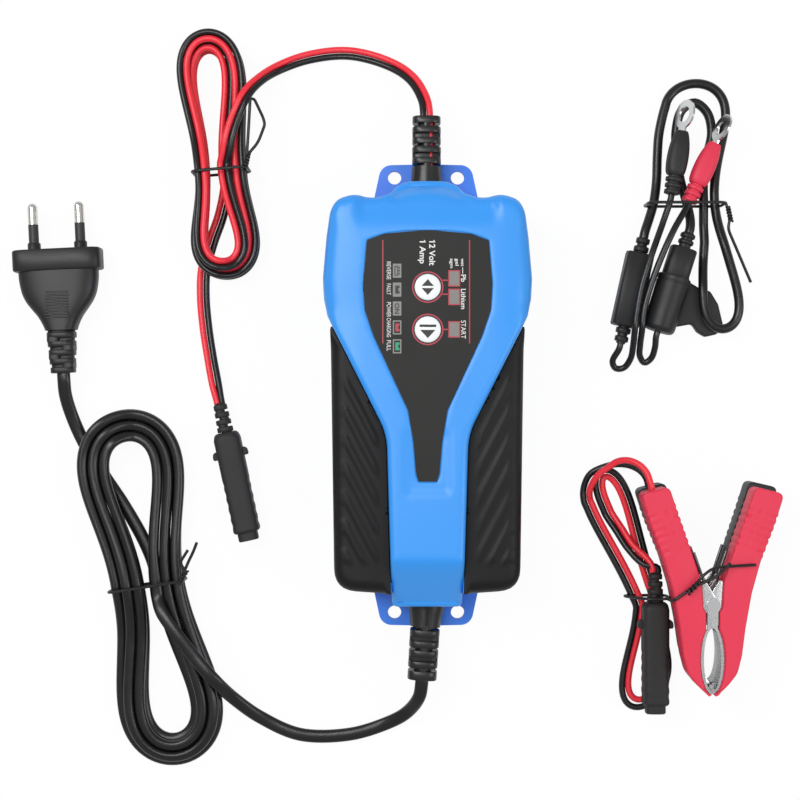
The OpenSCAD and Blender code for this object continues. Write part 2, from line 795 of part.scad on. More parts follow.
// Pair of ferrite halves: two end plates, a round middle leg and two side legs
module transformer_core() {
    color([0.25, 0.25, 0.27]) translate([core_at[0], core_at[1], deck]) {
        for (z = [0, core_size[2] - yoke_t]) translate([-core_size[0] / 2, -core_size[1] / 2, z])
            cube([core_size[0], core_size[1], yoke_t]);
        cylinder(d = leg_d, h = core_size[2]);
        side_t = (core_size[0] - leg_d) / 2 - window_w;
        for (x = [-core_size[0] / 2, core_size[0] / 2 - side_t])
            translate([x, -core_size[1] / 2, 0]) cube([side_t, core_size[1], core_size[2]]);
    }
}

module transformer_winding() {
    gap = 0.2;
    color("gold") translate([core_at[0], core_at[1], deck + yoke_t]) rotate_extrude()
        translate([leg_d / 2 + gap, 0])
            square([window_w - 2 * gap, core_size[2] - 2 * yoke_t - gap]);
}

module mains_capacitor() {
    color("dimgray") translate([-9, -24, deck]) cylinder(d = 14, h = 19);
}

module output_capacitors() {
    color("darkslategray") for (x = [-16, -4]) translate([x, 27, deck]) cylinder(d = 9, h = 16);
}

heat_sink_at = [10.5, -18, 0];
heat_sink_l = 40;
heat_sink_h = 20;
heat_sink_t = 2.5;

module heat_sink() {
    fin_count = 6;
    fin_l = 7;
    color("lightgray") translate([heat_sink_at[0], heat_sink_at[1], deck]) {
        cube([heat_sink_t, heat_sink_l, heat_sink_h]);
        for (i = [0:fin_count - 1])
            translate([heat_sink_t, i * (heat_sink_l - 1.4) / (fin_count - 1), 0])
                cube([fin_l, 1.4, heat_sink_h]);
    }
}

// Two flat packages against the plate of the heat sink, each on three legs
module power_transistors() {
    package = [4.4, 10, 15];
    leg_h = 4;
    color([0.15, 0.15, 0.16]) for (y = [4, 24])
        translate([heat_sink_at[0] - package[0], heat_sink_at[1] + y, deck]) {
            translate([0, 0, leg_h]) cube([package[0], package[1], package[2]]);
            for (i = [-1:1]) translate([package[0] / 2 - 0.4, package[1] / 2 + i * 2.54 - 0.4, 0])
                cube([0.8, 0.8, leg_h]);
        }
}

module bridge_rectifier() {
    color([0.15, 0.15, 0.16]) translate([-21, -40, deck]) {
        translate([0, 0, 2]) cube([15, 3.5, 11]);
        for (i = [0:3]) translate([1.5 + i * 3.8, 1.3, 0]) cube([0.8, 0.8, 2]);
    }
}

module filter_choke() {
    color("goldenrod") translate([6, -37.5, deck]) rotate_extrude() {
        translate([6, 4]) circle(d = 8);
        translate([4, 0]) square([4, 2]);
    }
}

module board_fuse() {
    color("gainsboro") translate([-2, -51, deck]) {
        translate([0, 0, 3.6]) rotate([0, 90, 0]) translate([0, 0, -10]) cylinder(d = 5, h = 20);
        for (x = [-9.5, 5.5]) translate([x, -2, 0]) cube([4, 4, 1.4]);
    }
}

module controller_chips() {
    color([0.12, 0.12, 0.12]) for (y = [12, 49]) translate([-3, y, control_deck]) cube([6, 5, 1.7]);
}

module indicator_leds() {
    led_side = 2;
    led_h = 1.2;
    color("palegreen") {
        for (y = window_ys) translate([window_x - led_side / 2, y - led_side / 2, control_deck])
            cube([led_side, led_side, led_h]);
        for (y = status_ys) translate([status_x - led_side / 2, y - led_side / 2, control_deck])
            cube([led_side, led_side, led_h]);
    }
}

// ---------------------------------------------------------------- mains lead and plug

black_plastic = [0.1, 0.1, 0.11];
wire_red = [0.92, 0.2, 0.28];

module mains_lead() {
    at = [0, -collar_end, base_h];
    relief_end = -mains_bands[2][1];
    start = [along(at, -mains_relief_lean, relief_end), along(at, -mains_relief_lean, relief_end - 2)];
    route = concat(start, mains_route, lead_in(mains_hank_path));
    color(black_plastic) flex(route, mains_flex_w, mains_flex_t, 8);
}

module mains_lead_hank() {
    color(black_plastic) flex(mains_hank_path, mains_strand_d, mains_strand_d, 6);
    echo(mains_hank_least_gap = least_gap(mains_hank_path, mains_strand_d));
}

module mains_lead_tail() {
    ends = [along(plug_at, plug_lean, plug_end - 2), along(plug_at, plug_lean, plug_end)];
    route = concat(lead_out(mains_hank_path), mains_tail_route, ends);
    color(black_plastic) flex(route, mains_flex_w, mains_flex_t, 8);
}

flange = [35.3, 9, 13.7];
pin_pitch = 18.6;
pin_d = 4;
pin_l = 19;
pin_seat = 4;
pin_neck_d = 3.2;
pin_neck_l = 0.3;

// The plug's grip from above, drawn in from the flange to the strain relief
module grip_plan() {
    half = [[16, -flange[1] + 0.5], [15.6, -14.5], [13.6, -20.7], [11.4, -23.8], [8.9, -26.8],
        [7.3, -29.9], [6, -33]];
    polygon(concat(half, [for (i = [len(half) - 1:-1:0]) [-half[i][0], half[i][1]]]));
}

// Body of the two-pin plug along -Y from its face
module mains_plug() {
    grip_h = 12;
    grip_end = -32;
    color(black_plastic) translate(plug_at) rotate([0, 0, plug_lean]) difference() {
        union() {
            translate([0, -flange[1], 0]) block_y(flange[0], flange[2], flange[1], 4);
            translate([0, 0, -grip_h / 2]) linear_extrude(grip_h) grip_plan();
            translate([0, plug_end, 0]) block_y(8.4, 7.4, grip_end - plug_end + 1, 2.5);
            for (i = [0:3]) translate([0, grip_end - 3.4 - i * 4.2, 0])
                block_y(11.2 - i * 0.7, 10 - i * 0.6, 2.4, 3);
        }
        for (x = [-1, 1]) translate([x * pin_pitch / 2, -pin_seat, 0])
            bar_y(pin_neck_d, pin_seat + 1);
    }
}

// Round pins; a thinner neck is moulded into the plug and shows for a hair's breadth
module plug_pins() {
    round_end = pin_l - pin_d / 2;
    color("silver") translate(plug_at) rotate([0, 0, plug_lean]) for (x = [-1, 1])
        translate([x * pin_pitch / 2, 0, 0]) {
            translate([0, -pin_seat, 0]) bar_y(pin_neck_d, pin_seat + pin_neck_l + 1);
            translate([0, pin_neck_l, 0]) bar_y(pin_d, round_end - pin_neck_l);
            translate([0, round_end, 0]) sphere(d = pin_d);
        }
}

// ---------------------------------------------------------------- output lead

module output_lead() {
    start = [for (y = [0, 2]) [0, collar_end + relief_bands[2][1] + y, base_h]];
    route = concat(start, output_route, lead_in(between(output_hank_path(-1), output_hank_path(1))));
    color(wire_red) flex(route, pair_w, wire_d, 8);
}

module output_lead_hank() {
    red = output_hank_path(-1);
    black = output_hank_path(1);
    color(wire_red) flex(red, wire_d, wire_d, 6);
    color(black_plastic) flex(black, wire_d, wire_d, 6);
    echo(output_hank_least_gap = min(least_gap(red, wire_d), least_gap(black, wire_d)));
}

module output_lead_tail() {
    middle = between(output_hank_path(-1), output_hank_path(1));
    ends = [along(output_connector_at, output_connector_lean, 2), output_connector_at];
    color(black_plastic) flex(concat(lead_out(middle), output_tail_route, ends), pair_w, wire_d, 8);
}

connector_w = 10.7;
connector_h = 9.8;
connector_relief_l = 12;
connector_l = 56;
connector_tip_l = 3.5;
socket_d = 3.2;
socket_pitch = 4.6;

// Two-pole connector along -Y from its cable end, with an ear on each side
module connector() {
    body_end = -connector_l + connector_tip_l;
    color(black_plastic) difference() {
        union() {
            translate([0, -connector_relief_l, 0]) block_y(4.6, 4.2, connector_relief_l, 1.5);
            for (i = [0:3]) translate([0, -2.2 - i * 3, 0])
                block_y(5.3 + i * 0.25, 5 + i * 0.3, 2.2, 1.6);
            translate([0, body_end, 0])
                block_y(connector_w, connector_h, -body_end - connector_relief_l, 2.2);
            translate([0, -connector_l, 0])
                block_y(connector_w - 2.6, connector_h - 3, connector_tip_l + 1, 1.5);
            translate([-connector_w / 2 - 2, -22, -2]) cube([connector_w + 4, 3.6, 4]);
        }
        for (x = [-1, 1]) translate([x * socket_pitch / 2, -connector_l - 1, 0])
            bar_y(socket_d, 16);
    }
}

module output_connector() {
    translate(output_connector_at) rotate([0, 0, output_connector_lean]) connector();
}

// ---------------------------------------------------------------- clamp lead

module clamp_connector() {
    translate(clamp_connector_at) connector();
}

module clamp_lead() {
    red = clamp_hank_path(-1);
    black = clamp_hank_path(1);
    red_end = red_clamp_at + [-22.6, 44.8, clamp_t / 2];
    black_end = along(black_clamp_at + [-22.6, -0.2, clamp_t / 2], black_clamp_lean, 44.8);
    ends = [clamp_connector_at + [0, 2, 0], clamp_connector_at];
    color(wire_red) flex(concat([red_end], red_handle_route, lead_in(red)), wire_d, wire_d, 8);
    color(black_plastic)
        flex(concat([black_end], black_handle_route, lead_in(black)), wire_d, wire_d, 8);
    color(wire_red)
        flex(concat(lead_out(between(red, black)), clamp_tail_route, ends), pair_w, wire_d, 8);
}

module clamp_lead_hank() {
    red = clamp_hank_path(-1);
    black = clamp_hank_path(1);
    color(wire_red) flex(red, wire_d, wire_d, 6);
    color(black_plastic) flex(black, wire_d, wire_d, 6);
    echo(clamp_hank_least_gap = min(least_gap(red, wire_d), least_gap(black, wire_d)));
}

// Points of the jaws' oval, grown by g
function oval(g) = [for (a = [0:7.5:352.5]) [(mouth[0] + g) * cos(a), mouth_y + (mouth[1] + g) * sin(a)]];

module right_half() {
    intersection() {
        children();
        translate([jaw_split, -60]) square([60, 120]);
    }
}

// Side view of the right grip: handle above the rivet, nose below it
module grip_outline() {
    difference() {
        polygon([
            [16.8, 46], [28, 43.2], [25.4, 35], [23.7, 30], [19, 17.8], [15.2, 4.5], [12.8, -9],
            [11.4, -20], [9.6, -27], [6, -31.5], [1.3, -36.2], [jaw_split, -35.2], [jaw_split, -1],
            [3.6, -1], [3.9, 2], [4.3, 9.3]
        ]);
        polygon(oval(jaw_t));
        circle(d = ear_d + 1.8);
        translate([-2.5, mouth_y + mouth[1] - 1]) square([5, -mouth_y - mouth[1] + 1]);
    }
}

module grip() {
    rib_h = 0.6;
    linear_extrude(clamp_t) grip_outline();
    for (i = [0:5]) translate([0, 18 + i * 3.6, 1]) linear_extrude(clamp_t - 2) polygon([
        [8.4 - rib_h + i * 1.22, 3.4], [9 - rib_h + i * 1.22, 5.2], [19.8 + rib_h + i * 1.3, 2],
        [19.2 + rib_h + i * 1.3, 0.2]
    ]);
}

// Steel liner of the right jaw: two side plates and the wall between them round the oval
module jaw(inset, wing) {
    for (z = [inset, clamp_t - inset - plate_t]) translate([0, 0, z]) linear_extrude(plate_t) {
        right_half() oval_ring();
        difference() {
            union() {
                circle(d = ear_d);
                polygon([[wing ? -2.1 : 0, 0], [2.1, 0], [2.1, -9.4], [0.5, -9.4], [wing ? -2.1 : 0, -8]]);
                if (wing) polygon([[3, 0], [3.4, 8.6], [2.2, 8], [-0.6, 2.5]]);
            }
            polygon(oval(0));
        }
    }
    translate([0, 0, inset]) linear_extrude(clamp_t - 2 * inset) intersection() {
        right_half() oval_ring();
        translate([0, -60]) square([20, 60 + jaw_top_y]);
    }
}

module oval_ring() {
    difference() {
        polygon(oval(jaw_t));
        polygon(oval(0));
    }
}

module placed(at, lean) {
    translate(at) rotate([0, 0, lean]) children();
}

module fixed_grip() {
    mirror([1, 0, 0]) grip();
}

module fixed_jaw() {
    difference() {
        mirror([1, 0, 0]) jaw(plate_inset, true);
        cylinder(d = rivet_d, h = clamp_t);
    }
}

module moving_jaw() {
    difference() {
        jaw(inner_plate_inset, false);
        cylinder(d = rivet_d + 2 * rivet_gap, h = clamp_t);
    }
}

module rivet() {
    cap_t = plate_inset - 0.1;
    cylinder_l = clamp_t - 2 * plate_inset;
    translate([0, 0, plate_inset]) cylinder(d = rivet_d, h = cylinder_l);
    for (z = [plate_inset - cap_t, clamp_t - plate_inset]) translate([0, 0, z])
        cylinder(d = rivet_d + 1.9, h = cap_t);
}

// Torsion spring round the rivet, with a leg against each handle
module spring() {
    low = inner_plate_inset + plate_t + 0.2;
    coil_h = clamp_t - 2 * low;
    leg_l = 20;
    leg_lean = 18.8;
    translate([0, 0, low]) difference() {
        cylinder(d = 6, h = coil_h);
        translate([0, 0, -1]) cylinder(d = rivet_d + 0.8, h = coil_h + 2);
    }
    for (s = [-1, 1]) translate([s * 0.95, 1.5, clamp_t / 2 + s * 1.2 - 0.6])
        rotate([0, 0, -s * leg_lean]) translate([-0.6, 0, 0]) cube([1.2, leg_l, 1.2]);
}

module red_clamp_fixed_grip() {
    color("crimson") placed(red_clamp_at, 0) fixed_grip();
}

module red_clamp_fixed_jaw() {
    color("silver") placed(red_clamp_at, 0) fixed_jaw();
}

module red_clamp_moving_grip() {
    color("crimson") placed(red_clamp_at, 0) grip();
}

module red_clamp_moving_jaw() {
    color("silver") placed(red_clamp_at, 0) moving_jaw();
}

module red_clamp_rivet() {
    color("gainsboro") placed(red_clamp_at, 0) rivet();
}

module red_clamp_spring() {
    color("gray") placed(red_clamp_at, 0) spring();
}

module black_clamp_fixed_grip() {
    color(black_plastic) placed(black_clamp_at, black_clamp_lean) fixed_grip();
}

module black_clamp_fixed_jaw() {
    color("silver") placed(black_clamp_at, black_clamp_lean) fixed_jaw();
}

module black_clamp_moving_grip() {
    color(black_plastic) placed(black_clamp_at, black_clamp_lean) grip();
}

module black_clamp_moving_jaw() {
    color("silver") placed(black_clamp_at, black_clamp_lean) moving_jaw();
}

module black_clamp_rivet() {
    color("gainsboro") placed(black_clamp_at, black_clamp_lean) rivet();
}

module black_clamp_spring() {
    color("gray") placed(black_clamp_at, black_clamp_lean) spring();
}

// ---------------------------------------------------------------- eyelet lead

cap_d = 13.4;
cap_l = 23;
cap_end = -41;
eyelet_relief_l = 6;

// Connector whose contacts are under a round rubber cap
// Soft cover of the socket: it lies open on the bench beside the cap that it hangs on
cover_outline = [
    [103.8, 58.5], [105.9, 52], [106.2, 45.5], [110, 43.2], [114.6, 41.8], [117.8, 36.5],
    [119.9, 27.5], [117, 24.4], [112.6, 23.4], [109.4, 25.3], [107.2, 28.6], [99.5, 27.2],
    [97.5, 32], [100, 44]
];

module eyelet_connector() {
    color(black_plastic) linear_extrude(cover_t) polygon(cover_outline);
    placed(eyelet_connector_at, eyelet_connector_lean) {
        color(black_plastic) {
            translate([0, -eyelet_relief_l, 0]) block_y(6, 5.6, eyelet_relief_l, 2);
            translate([0, cap_end + cap_l - 3, 0])
                block_y(connector_w, connector_h, -cap_end - cap_l + 3 - eyelet_relief_l, 2.2);
            translate([0, cap_end, 0]) bar_y(cap_d, cap_l);
        }
    }
}

function fuse_point(y) = along(fuse_holder_at, fuse_holder_lean, y);

module eyelet_lead() {
    path = eyelet_hank_path;
    fuse_end = [fuse_point(22), fuse_point(24)];
    plug_end = [along(eyelet_connector_at, eyelet_connector_lean, 2), eyelet_connector_at];
    left_start = [black_boot_at, along(black_boot_at, black_boot_lean, 2)];
    right_start = [red_boot_at, along(red_boot_at, red_boot_lean, 2)];
    left_end = [fuse_point(-24), fuse_point(-22)];
    right_end = [for (y = [-2, 0]) along(eyelet_connector_at, eyelet_connector_lean, cap_end + y)];
    color(black_plastic) {
        flex(concat(fuse_end, fuse_top_route, lead_in(path)), jacket_d, jacket_d, 8);
        flex(concat(lead_out(path), connector_route, plug_end), jacket_d, jacket_d, 8);
        flex(concat(left_start, left_boot_route, left_end), wire_d, wire_d, 8);
        flex(concat(right_start, right_boot_route, right_end), wire_d, wire_d, 8);
    }
}

module eyelet_lead_hank() {
    color(black_plastic) flex(eyelet_hank_path, jacket_d, jacket_d, 6);
    echo(eyelet_hank_least_gap = least_gap(eyelet_hank_path, jacket_d));
}

module fuse_holder() {
    box = [11, 30, 10];
    relief_l = 7;
    color(black_plastic) placed(fuse_holder_at, fuse_holder_lean) {
        translate([0, -box[1] / 2, 0]) block_y(box[0], box[2], box[1], 1.5);
        for (y = [box[1] / 2, -box[1] / 2 - relief_l]) translate([0, y, 0])
            block_y(5, 5, relief_l, 1.8);
    }
}

boot_l = 26;
boot_bands = [[0, 1.6], [2.6, 4.2], [5.2, 6.8]];

// Tapered boot over a crimp, its wire leaving at y = 0
module boot() {
    hull() {
        translate([0, -boot_l + 7, 0]) block_y(8.4, 7.4, 12, 3);
        translate([0, -boot_l + 1, 0]) block_y(5, 4.6, 0.5, 1.8);
        translate([0, -8, 0]) block_y(6, 6, 0.5, 2);
    }
    translate([0, -8, 0]) block_y(4.6, 4.6, 8, 1.6);
    for (b = boot_bands) translate([0, -b[1], 0]) block_y(6.2, 6, b[1] - b[0], 2);
}

module eyelet_boots() {
    color(black_plastic) placed(black_boot_at, black_boot_lean) boot();
    color("crimson") placed(red_boot_at, red_boot_lean) boot();
}

ring_outer_d = 11.5;
ring_hole_d = 6.4;
ring_t = 0.9;
black_ring_roll = 62;
red_ring_roll = 70;

// Ring terminal whose tongue comes out of a boot
module ring_terminal(roll) {
    rotate([0, roll, 0]) translate([0, 0, -ring_t / 2]) difference() {
        union() {
            translate([0, -boot_l - 6.5, 0]) cylinder(d = ring_outer_d, h = ring_t);
            translate([-2, -boot_l - 4, 0]) cube([4, 4.5, ring_t]);
        }
        translate([0, -boot_l - 6.5, -1]) cylinder(d = ring_hole_d, h = ring_t + 2);
    }
}

module eyelet_terminals() {
    color("silver") placed(black_boot_at, black_boot_lean) ring_terminal(black_ring_roll);
    color("silver") placed(red_boot_at, red_boot_lean) ring_terminal(red_ring_roll);
}

// ---------------------------------------------------------------- ties

// A closed turn of tie wire round a bundle: half width, height and place of its middle
module tie_turn(at, lean, left, right, h) {
    low = tie_t / 2;
    placed([at[0], at[1], 0], lean) bent_wire([
        [-left, 0, low + 1.5], [-left + 1.5, 0, low], [right - 1.5, 0, low], [right, 0, low + 1.5],
        [right, 0, h - 2], [right - 2, 0, h], [-left + 2, 0, h], [-left, 0, h - 2],
        [-left, 0, low + 1.5]
    ], tie_t);
}

module lead_ties() {
    $fn = 8;
    color(black_plastic) {
        tie_turn(mains_hank_centre, mains_hank_lean, 16.2, 13.9, 13.9);
        tie_turn(output_hank_centre, output_hank_lean, 9.5, 12.4, 17);
        tie_turn([106, 76.3], 0, 17.8, 13, 14.8);
        bent_wire(clamp_tie_below, tie_t);
        bent_wire(clamp_tie_above, tie_t);
        for (tail = tie_tails) bent_wire(tail, tie_t);
    }
}

// ---------------------------------------------------------------- nodes

bottom_shell();
top_shell();
side_panel(-1);  // left_side_panel
side_panel(1);  // right_side_panel
fascia_label();
housing_gasket();
light_lenses();
mode_button();
start_button();
self_tapping_screws();
mains_strain_relief();
output_strain_relief();
main_board();
control_board();
board_link();
transformer_core();
transformer_winding();
mains_capacitor();
output_capacitors();
heat_sink();
power_transistors();
bridge_rectifier();
filter_choke();
board_fuse();
controller_chips();
indicator_leds();
switch_bodies();
mode_switch_plunger();
start_switch_plunger();
mains_lead();
mains_lead_hank();
mains_lead_tail();
mains_plug();
plug_pins();
output_lead();
output_lead_hank();
output_lead_tail();
output_connector();
clamp_connector();
clamp_lead();
clamp_lead_hank();
red_clamp_fixed_grip();
red_clamp_fixed_jaw();
red_clamp_moving_grip();
red_clamp_moving_jaw();
red_clamp_rivet();
red_clamp_spring();
black_clamp_fixed_grip();
black_clamp_fixed_jaw();
black_clamp_moving_grip();
black_clamp_moving_jaw();
black_clamp_rivet();
black_clamp_spring();
eyelet_connector();
eyelet_lead();
eyelet_lead_hank();
fuse_holder();
eyelet_boots();
eyelet_terminals();
lead_ties();
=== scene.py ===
import math

import bmesh
import bpy
import numpy as np
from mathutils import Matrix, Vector
from mathutils.geometry import delaunay_2d_cdt


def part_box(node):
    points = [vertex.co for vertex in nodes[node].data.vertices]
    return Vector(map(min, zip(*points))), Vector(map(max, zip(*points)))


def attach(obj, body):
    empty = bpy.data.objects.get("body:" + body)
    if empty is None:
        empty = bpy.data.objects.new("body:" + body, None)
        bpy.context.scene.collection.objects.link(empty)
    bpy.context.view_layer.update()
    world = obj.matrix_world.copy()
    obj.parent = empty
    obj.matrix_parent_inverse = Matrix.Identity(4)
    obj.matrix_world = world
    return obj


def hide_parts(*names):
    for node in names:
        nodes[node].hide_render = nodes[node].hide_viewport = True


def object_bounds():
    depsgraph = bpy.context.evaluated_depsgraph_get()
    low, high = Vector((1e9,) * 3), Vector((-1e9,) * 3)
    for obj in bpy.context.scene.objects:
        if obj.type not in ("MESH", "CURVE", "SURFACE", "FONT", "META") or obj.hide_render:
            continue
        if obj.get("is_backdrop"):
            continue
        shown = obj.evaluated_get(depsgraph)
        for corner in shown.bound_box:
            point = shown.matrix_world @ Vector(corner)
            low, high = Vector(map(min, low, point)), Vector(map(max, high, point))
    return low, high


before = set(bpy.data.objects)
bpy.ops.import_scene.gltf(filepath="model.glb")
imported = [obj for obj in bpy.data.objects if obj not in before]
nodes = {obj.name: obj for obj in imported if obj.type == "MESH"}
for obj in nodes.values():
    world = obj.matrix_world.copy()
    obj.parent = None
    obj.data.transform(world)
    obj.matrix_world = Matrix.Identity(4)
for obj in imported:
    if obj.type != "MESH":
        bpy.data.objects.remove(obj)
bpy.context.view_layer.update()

# ------------------------------------------------------------------ floor and light
# The bench is a pale matt sheet. A wide soft box above and to the left draws the thin lines
# of light along the flexes; a second one on the right fills the shadows.

MM = 0.001


def linear(red, green, blue):
    """A colour given as it shows on a screen, 0 to 255, as the shaders want it."""
    parts = [c / 255 for c in (red, green, blue)]
    return tuple(c / 12.92 if c <= 0.04045 else ((c + 0.055) / 1.055) ** 2.4 for c in parts)


class Value:
    """A socket in a material, with the sums that the finishes need."""

    def __init__(self, finish, socket):
        self.finish, self.socket = finish, socket

    def reckon(self, operation, first, second):
        return self.finish.node("Math", {"operation": operation}, {0: first, 1: second})

    def __add__(self, other):
        return self.reckon("ADD", self, other)

    def __radd__(self, other):
        return self.reckon("ADD", other, self)

    def __sub__(self, other):
        return self.reckon("SUBTRACT", self, other)

    def __rsub__(self, other):
        return self.reckon("SUBTRACT", other, self)

    def __mul__(self, other):
        return self.reckon("MULTIPLY", self, other)

    def __rmul__(self, other):
        return self.reckon("MULTIPLY", other, self)


class Finish:
    """A material: its surface shader, and one way to add any other node."""

    def __init__(self, name, **sockets):
        self.material = bpy.data.materials.new(name)
        self.material.use_nodes = True
        self.tree = self.material.node_tree
        self.shader = self.tree.nodes["Principled BSDF"]
        self.surface = Value(self, self.shader.outputs[0])
        self.set(**sockets)

    def plug(self, node, socket, value):
        slot = node.inputs[socket]
        if isinstance(value, Value):
            self.tree.links.new(value.socket, slot)
        elif isinstance(value, tuple) and slot.type == "RGBA":
            slot.default_value = (*value, 1)
        else:
            slot.default_value = value

    def set(self, **sockets):
        """Sets sockets of the surface shader: base_color is Base Color, and so on."""
        for name, value in sockets.items():
            self.plug(self.shader, name.replace("_", " ").title().replace("Ior", "IOR"), value)

    def node(self, kind, settings=None, sockets=None, out=0):
        node = self.tree.nodes.new("ShaderNode" + kind)
        for setting, value in (settings or {}).items():
            setattr(node, setting, value)
        for socket, value in (sockets or {}).items():
            self.plug(node, socket, value)
        return Value(self, node.outputs[out])

    def output(self, shader):
        self.plug(self.tree.nodes["Material Output"], "Surface", shader)

    def place(self, axis):
        """The object's X, Y or Z in metres."""
        where = self.node("TexCoord", out="Object")
        return self.node("SeparateXYZ", {}, {0: where}, out=axis)

    def speckle(self, per_mm, detail=2.0, stretch=(1, 1, 1)):
        """Even noise about 0.5, so many bumps to the millimetre."""
        where = self.node("TexCoord", out="Object")
        where = self.node("Mapping", {}, {"Vector": where, "Scale": stretch})
        return self.node("TexNoise", {}, {"Vector": where, "Scale": per_mm / MM, "Detail": detail})

    def between(self, value, low, high):
        """0 below low, 1 above high and an even change from one to the other."""
        return self.node("MapRange", {"clamp": True}, {"Value": value, "From Min": low, "From Max": high})

    def bump(self, height, depth):
        """Roughens the surface by a height from 0 to 1, so many millimetres deep."""
        self.set(normal=self.node("Bump", {}, {"Height": height, "Distance": depth * MM, "Strength": 1.0}))

    def tint(self, colour, other, mask):
        """One colour turning to another by a mask."""
        mixed = self.node("Mix", {"data_type": "RGBA"}, {"Factor": mask, 6: colour, 7: other}, out=2)
        self.set(base_color=mixed)
        return mixed


sheet = Finish("bench_sheet", base_color=(0.9, 0.9, 0.9), roughness=0.9)
seen = sheet.node("LightPath", out="Is Camera Ray")
mirrored = sheet.node("LightPath", out="Is Glossy Ray")
glow = sheet.node("Emission", {}, {"Strength": 1.0})
sheet.output(sheet.node("MixShader", {}, {0: seen * 0.95 + mirrored * 0.45, 1: sheet.surface, 2: glow}))

BENCH_SIZE, BENCH_Z = 6000, -0.2
bpy.ops.mesh.primitive_plane_add(size=BENCH_SIZE * MM, location=(0, 0, BENCH_Z * MM))
bench = bpy.context.object
bench.name = "bench"
bench.data.materials.append(sheet.material)
bench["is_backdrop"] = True

studio = bpy.context.scene
studio.view_settings.view_transform = "Standard"
studio.world = bpy.data.worlds.new("studio")
studio.world.use_nodes = True
walls = studio.world.node_tree.nodes["Background"].inputs
walls["Color"].default_value, walls["Strength"].default_value = (1, 1, 1, 1), 0.46

for name, place, size, watts in (
    ("key_box", (-0.42, 0.25, 1.05), (0.30, 0.95), 8.0),
    ("fill_box", (0.75, -0.1, 0.85), (0.25, 0.8), 3.0),
):
    lamp = bpy.data.lights.new(name, "AREA")
    lamp.shape = "RECTANGLE"
    lamp.size, lamp.size_y = size
    lamp.energy = watts
    holder = bpy.data.objects.new(name, lamp)
    holder.location = place
    aim = np.array([0.0, 0.0, 0.02]) - np.array(place)
    holder.rotation_euler = (
        math.acos(-aim[2] / np.linalg.norm(aim)), 0, math.atan2(aim[1], aim[0]) - math.pi / 2)
    studio.collection.objects.link(holder)

# ------------------------------------------------------------------ camera
# It hangs over the bench and looks straight down.

VIEW_HEIGHT, VIEW_WIDTH = 650, 324
VIEW_CENTRE = (-10.5, -2)

camera = bpy.data.objects.new("camera", bpy.data.cameras.new("camera"))
camera.data.sensor_width = 36
camera.data.lens = 36 * VIEW_HEIGHT / VIEW_WIDTH
camera.location = [c * MM for c in (*VIEW_CENTRE, VIEW_HEIGHT)]
studio.collection.objects.link(camera)
studio.camera = camera

# ------------------------------------------------------------------ mains flex
# Flat two-core flex in black PVC. It comes out of the strain relief at the foot of the
# housing, is wound into a hank of five loops and ends in the plug.

HOUSING_END = 82.5
RELIEF_Z = 14


def piece(name, verts, faces, finish, slot, body="charger", replaced=(), sharp=35):
    """A mesh from points in millimetres that rides on a body."""
    mesh = bpy.data.meshes.new(name)
    mesh.from_pydata([tuple(float(c) * MM for c in v) for v in verts], [], faces)
    loops = bmesh.new()
    loops.from_mesh(mesh)
    bmesh.ops.recalc_face_normals(loops, faces=loops.faces)
    loops.to_mesh(mesh)
    loops.free()
    mesh.shade_smooth()
    mesh.set_sharp_from_angle(angle=math.radians(sharp))
    mesh.materials.append(finish.material)
    made = bpy.data.objects.new(name, mesh)
    studio.collection.objects.link(made)
    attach(made, body)
    if replaced:
        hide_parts(*replaced)
    return made


def evenly(line, spacing, more=1):
    """A line's run through points that stand an even step apart."""
    run = np.concatenate([[0], np.cumsum(np.linalg.norm(np.diff(line, axis=0), axis=1))])
    even = np.linspace(0, run[-1], int(run[-1] / spacing) + more)
    return np.stack([np.interp(even, run, line[:, k]) for k in range(line.shape[1])], axis=1)


def directions(line):
    """The way a line goes at each of its points."""
    ahead = np.gradient(line, axis=0)
    return ahead / np.linalg.norm(ahead, axis=1)[:, None]


def flowing(points, spacing):
    """A smooth line through points, cut into steps of about one spacing."""
    points = np.array(points, float)
    keep = [0] + [i for i in range(1, len(points)) if np.linalg.norm(points[i] - points[i - 1]) > 0.05]
    points = points[keep]
    before = 2 * points[0] - points[1]
    after = 2 * points[-1] - points[-2]
    full = np.vstack([before, points, after])
    line = []
    for k in range(1, len(full) - 2):
        p0, p1, p2, p3 = full[k - 1:k + 3]
        t1 = np.linalg.norm(p1 - p0) ** 0.5
        t2 = t1 + np.linalg.norm(p2 - p1) ** 0.5
        t3 = t2 + np.linalg.norm(p3 - p2) ** 0.5
        for t in np.linspace(t1, t2, max(2, int(np.linalg.norm(p2 - p1) / spacing * 3)), endpoint=False):
            a1 = (t1 - t) / t1 * p0 + t / t1 * p1
            a2 = (t2 - t) / (t2 - t1) * p1 + (t - t1) / (t2 - t1) * p2
            a3 = (t3 - t) / (t3 - t2) * p2 + (t - t2) / (t3 - t2) * p3
            b1 = (t2 - t) / t2 * a1 + t / t2 * a2
            b2 = (t3 - t) / (t3 - t1) * a2 + (t - t1) / (t3 - t1) * a3
            line.append((t2 - t) / (t2 - t1) * b1 + (t - t1) / (t2 - t1) * b2)
    return evenly(np.array(line + [points[-1]]), spacing)


def tube(rows, sides, ends=True):
    """Faces between rows of points, each row going round, and one face over each end."""
    faces = [(i * sides + k, i * sides + (k + 1) % sides, (i + 1) * sides + (k + 1) % sides, (i + 1) * sides + k)
             for i in range(rows - 1) for k in range(sides)]
    if ends:
        faces += [tuple(range(sides)), tuple((rows - 1) * sides + k for k in range(sides))]
    return faces


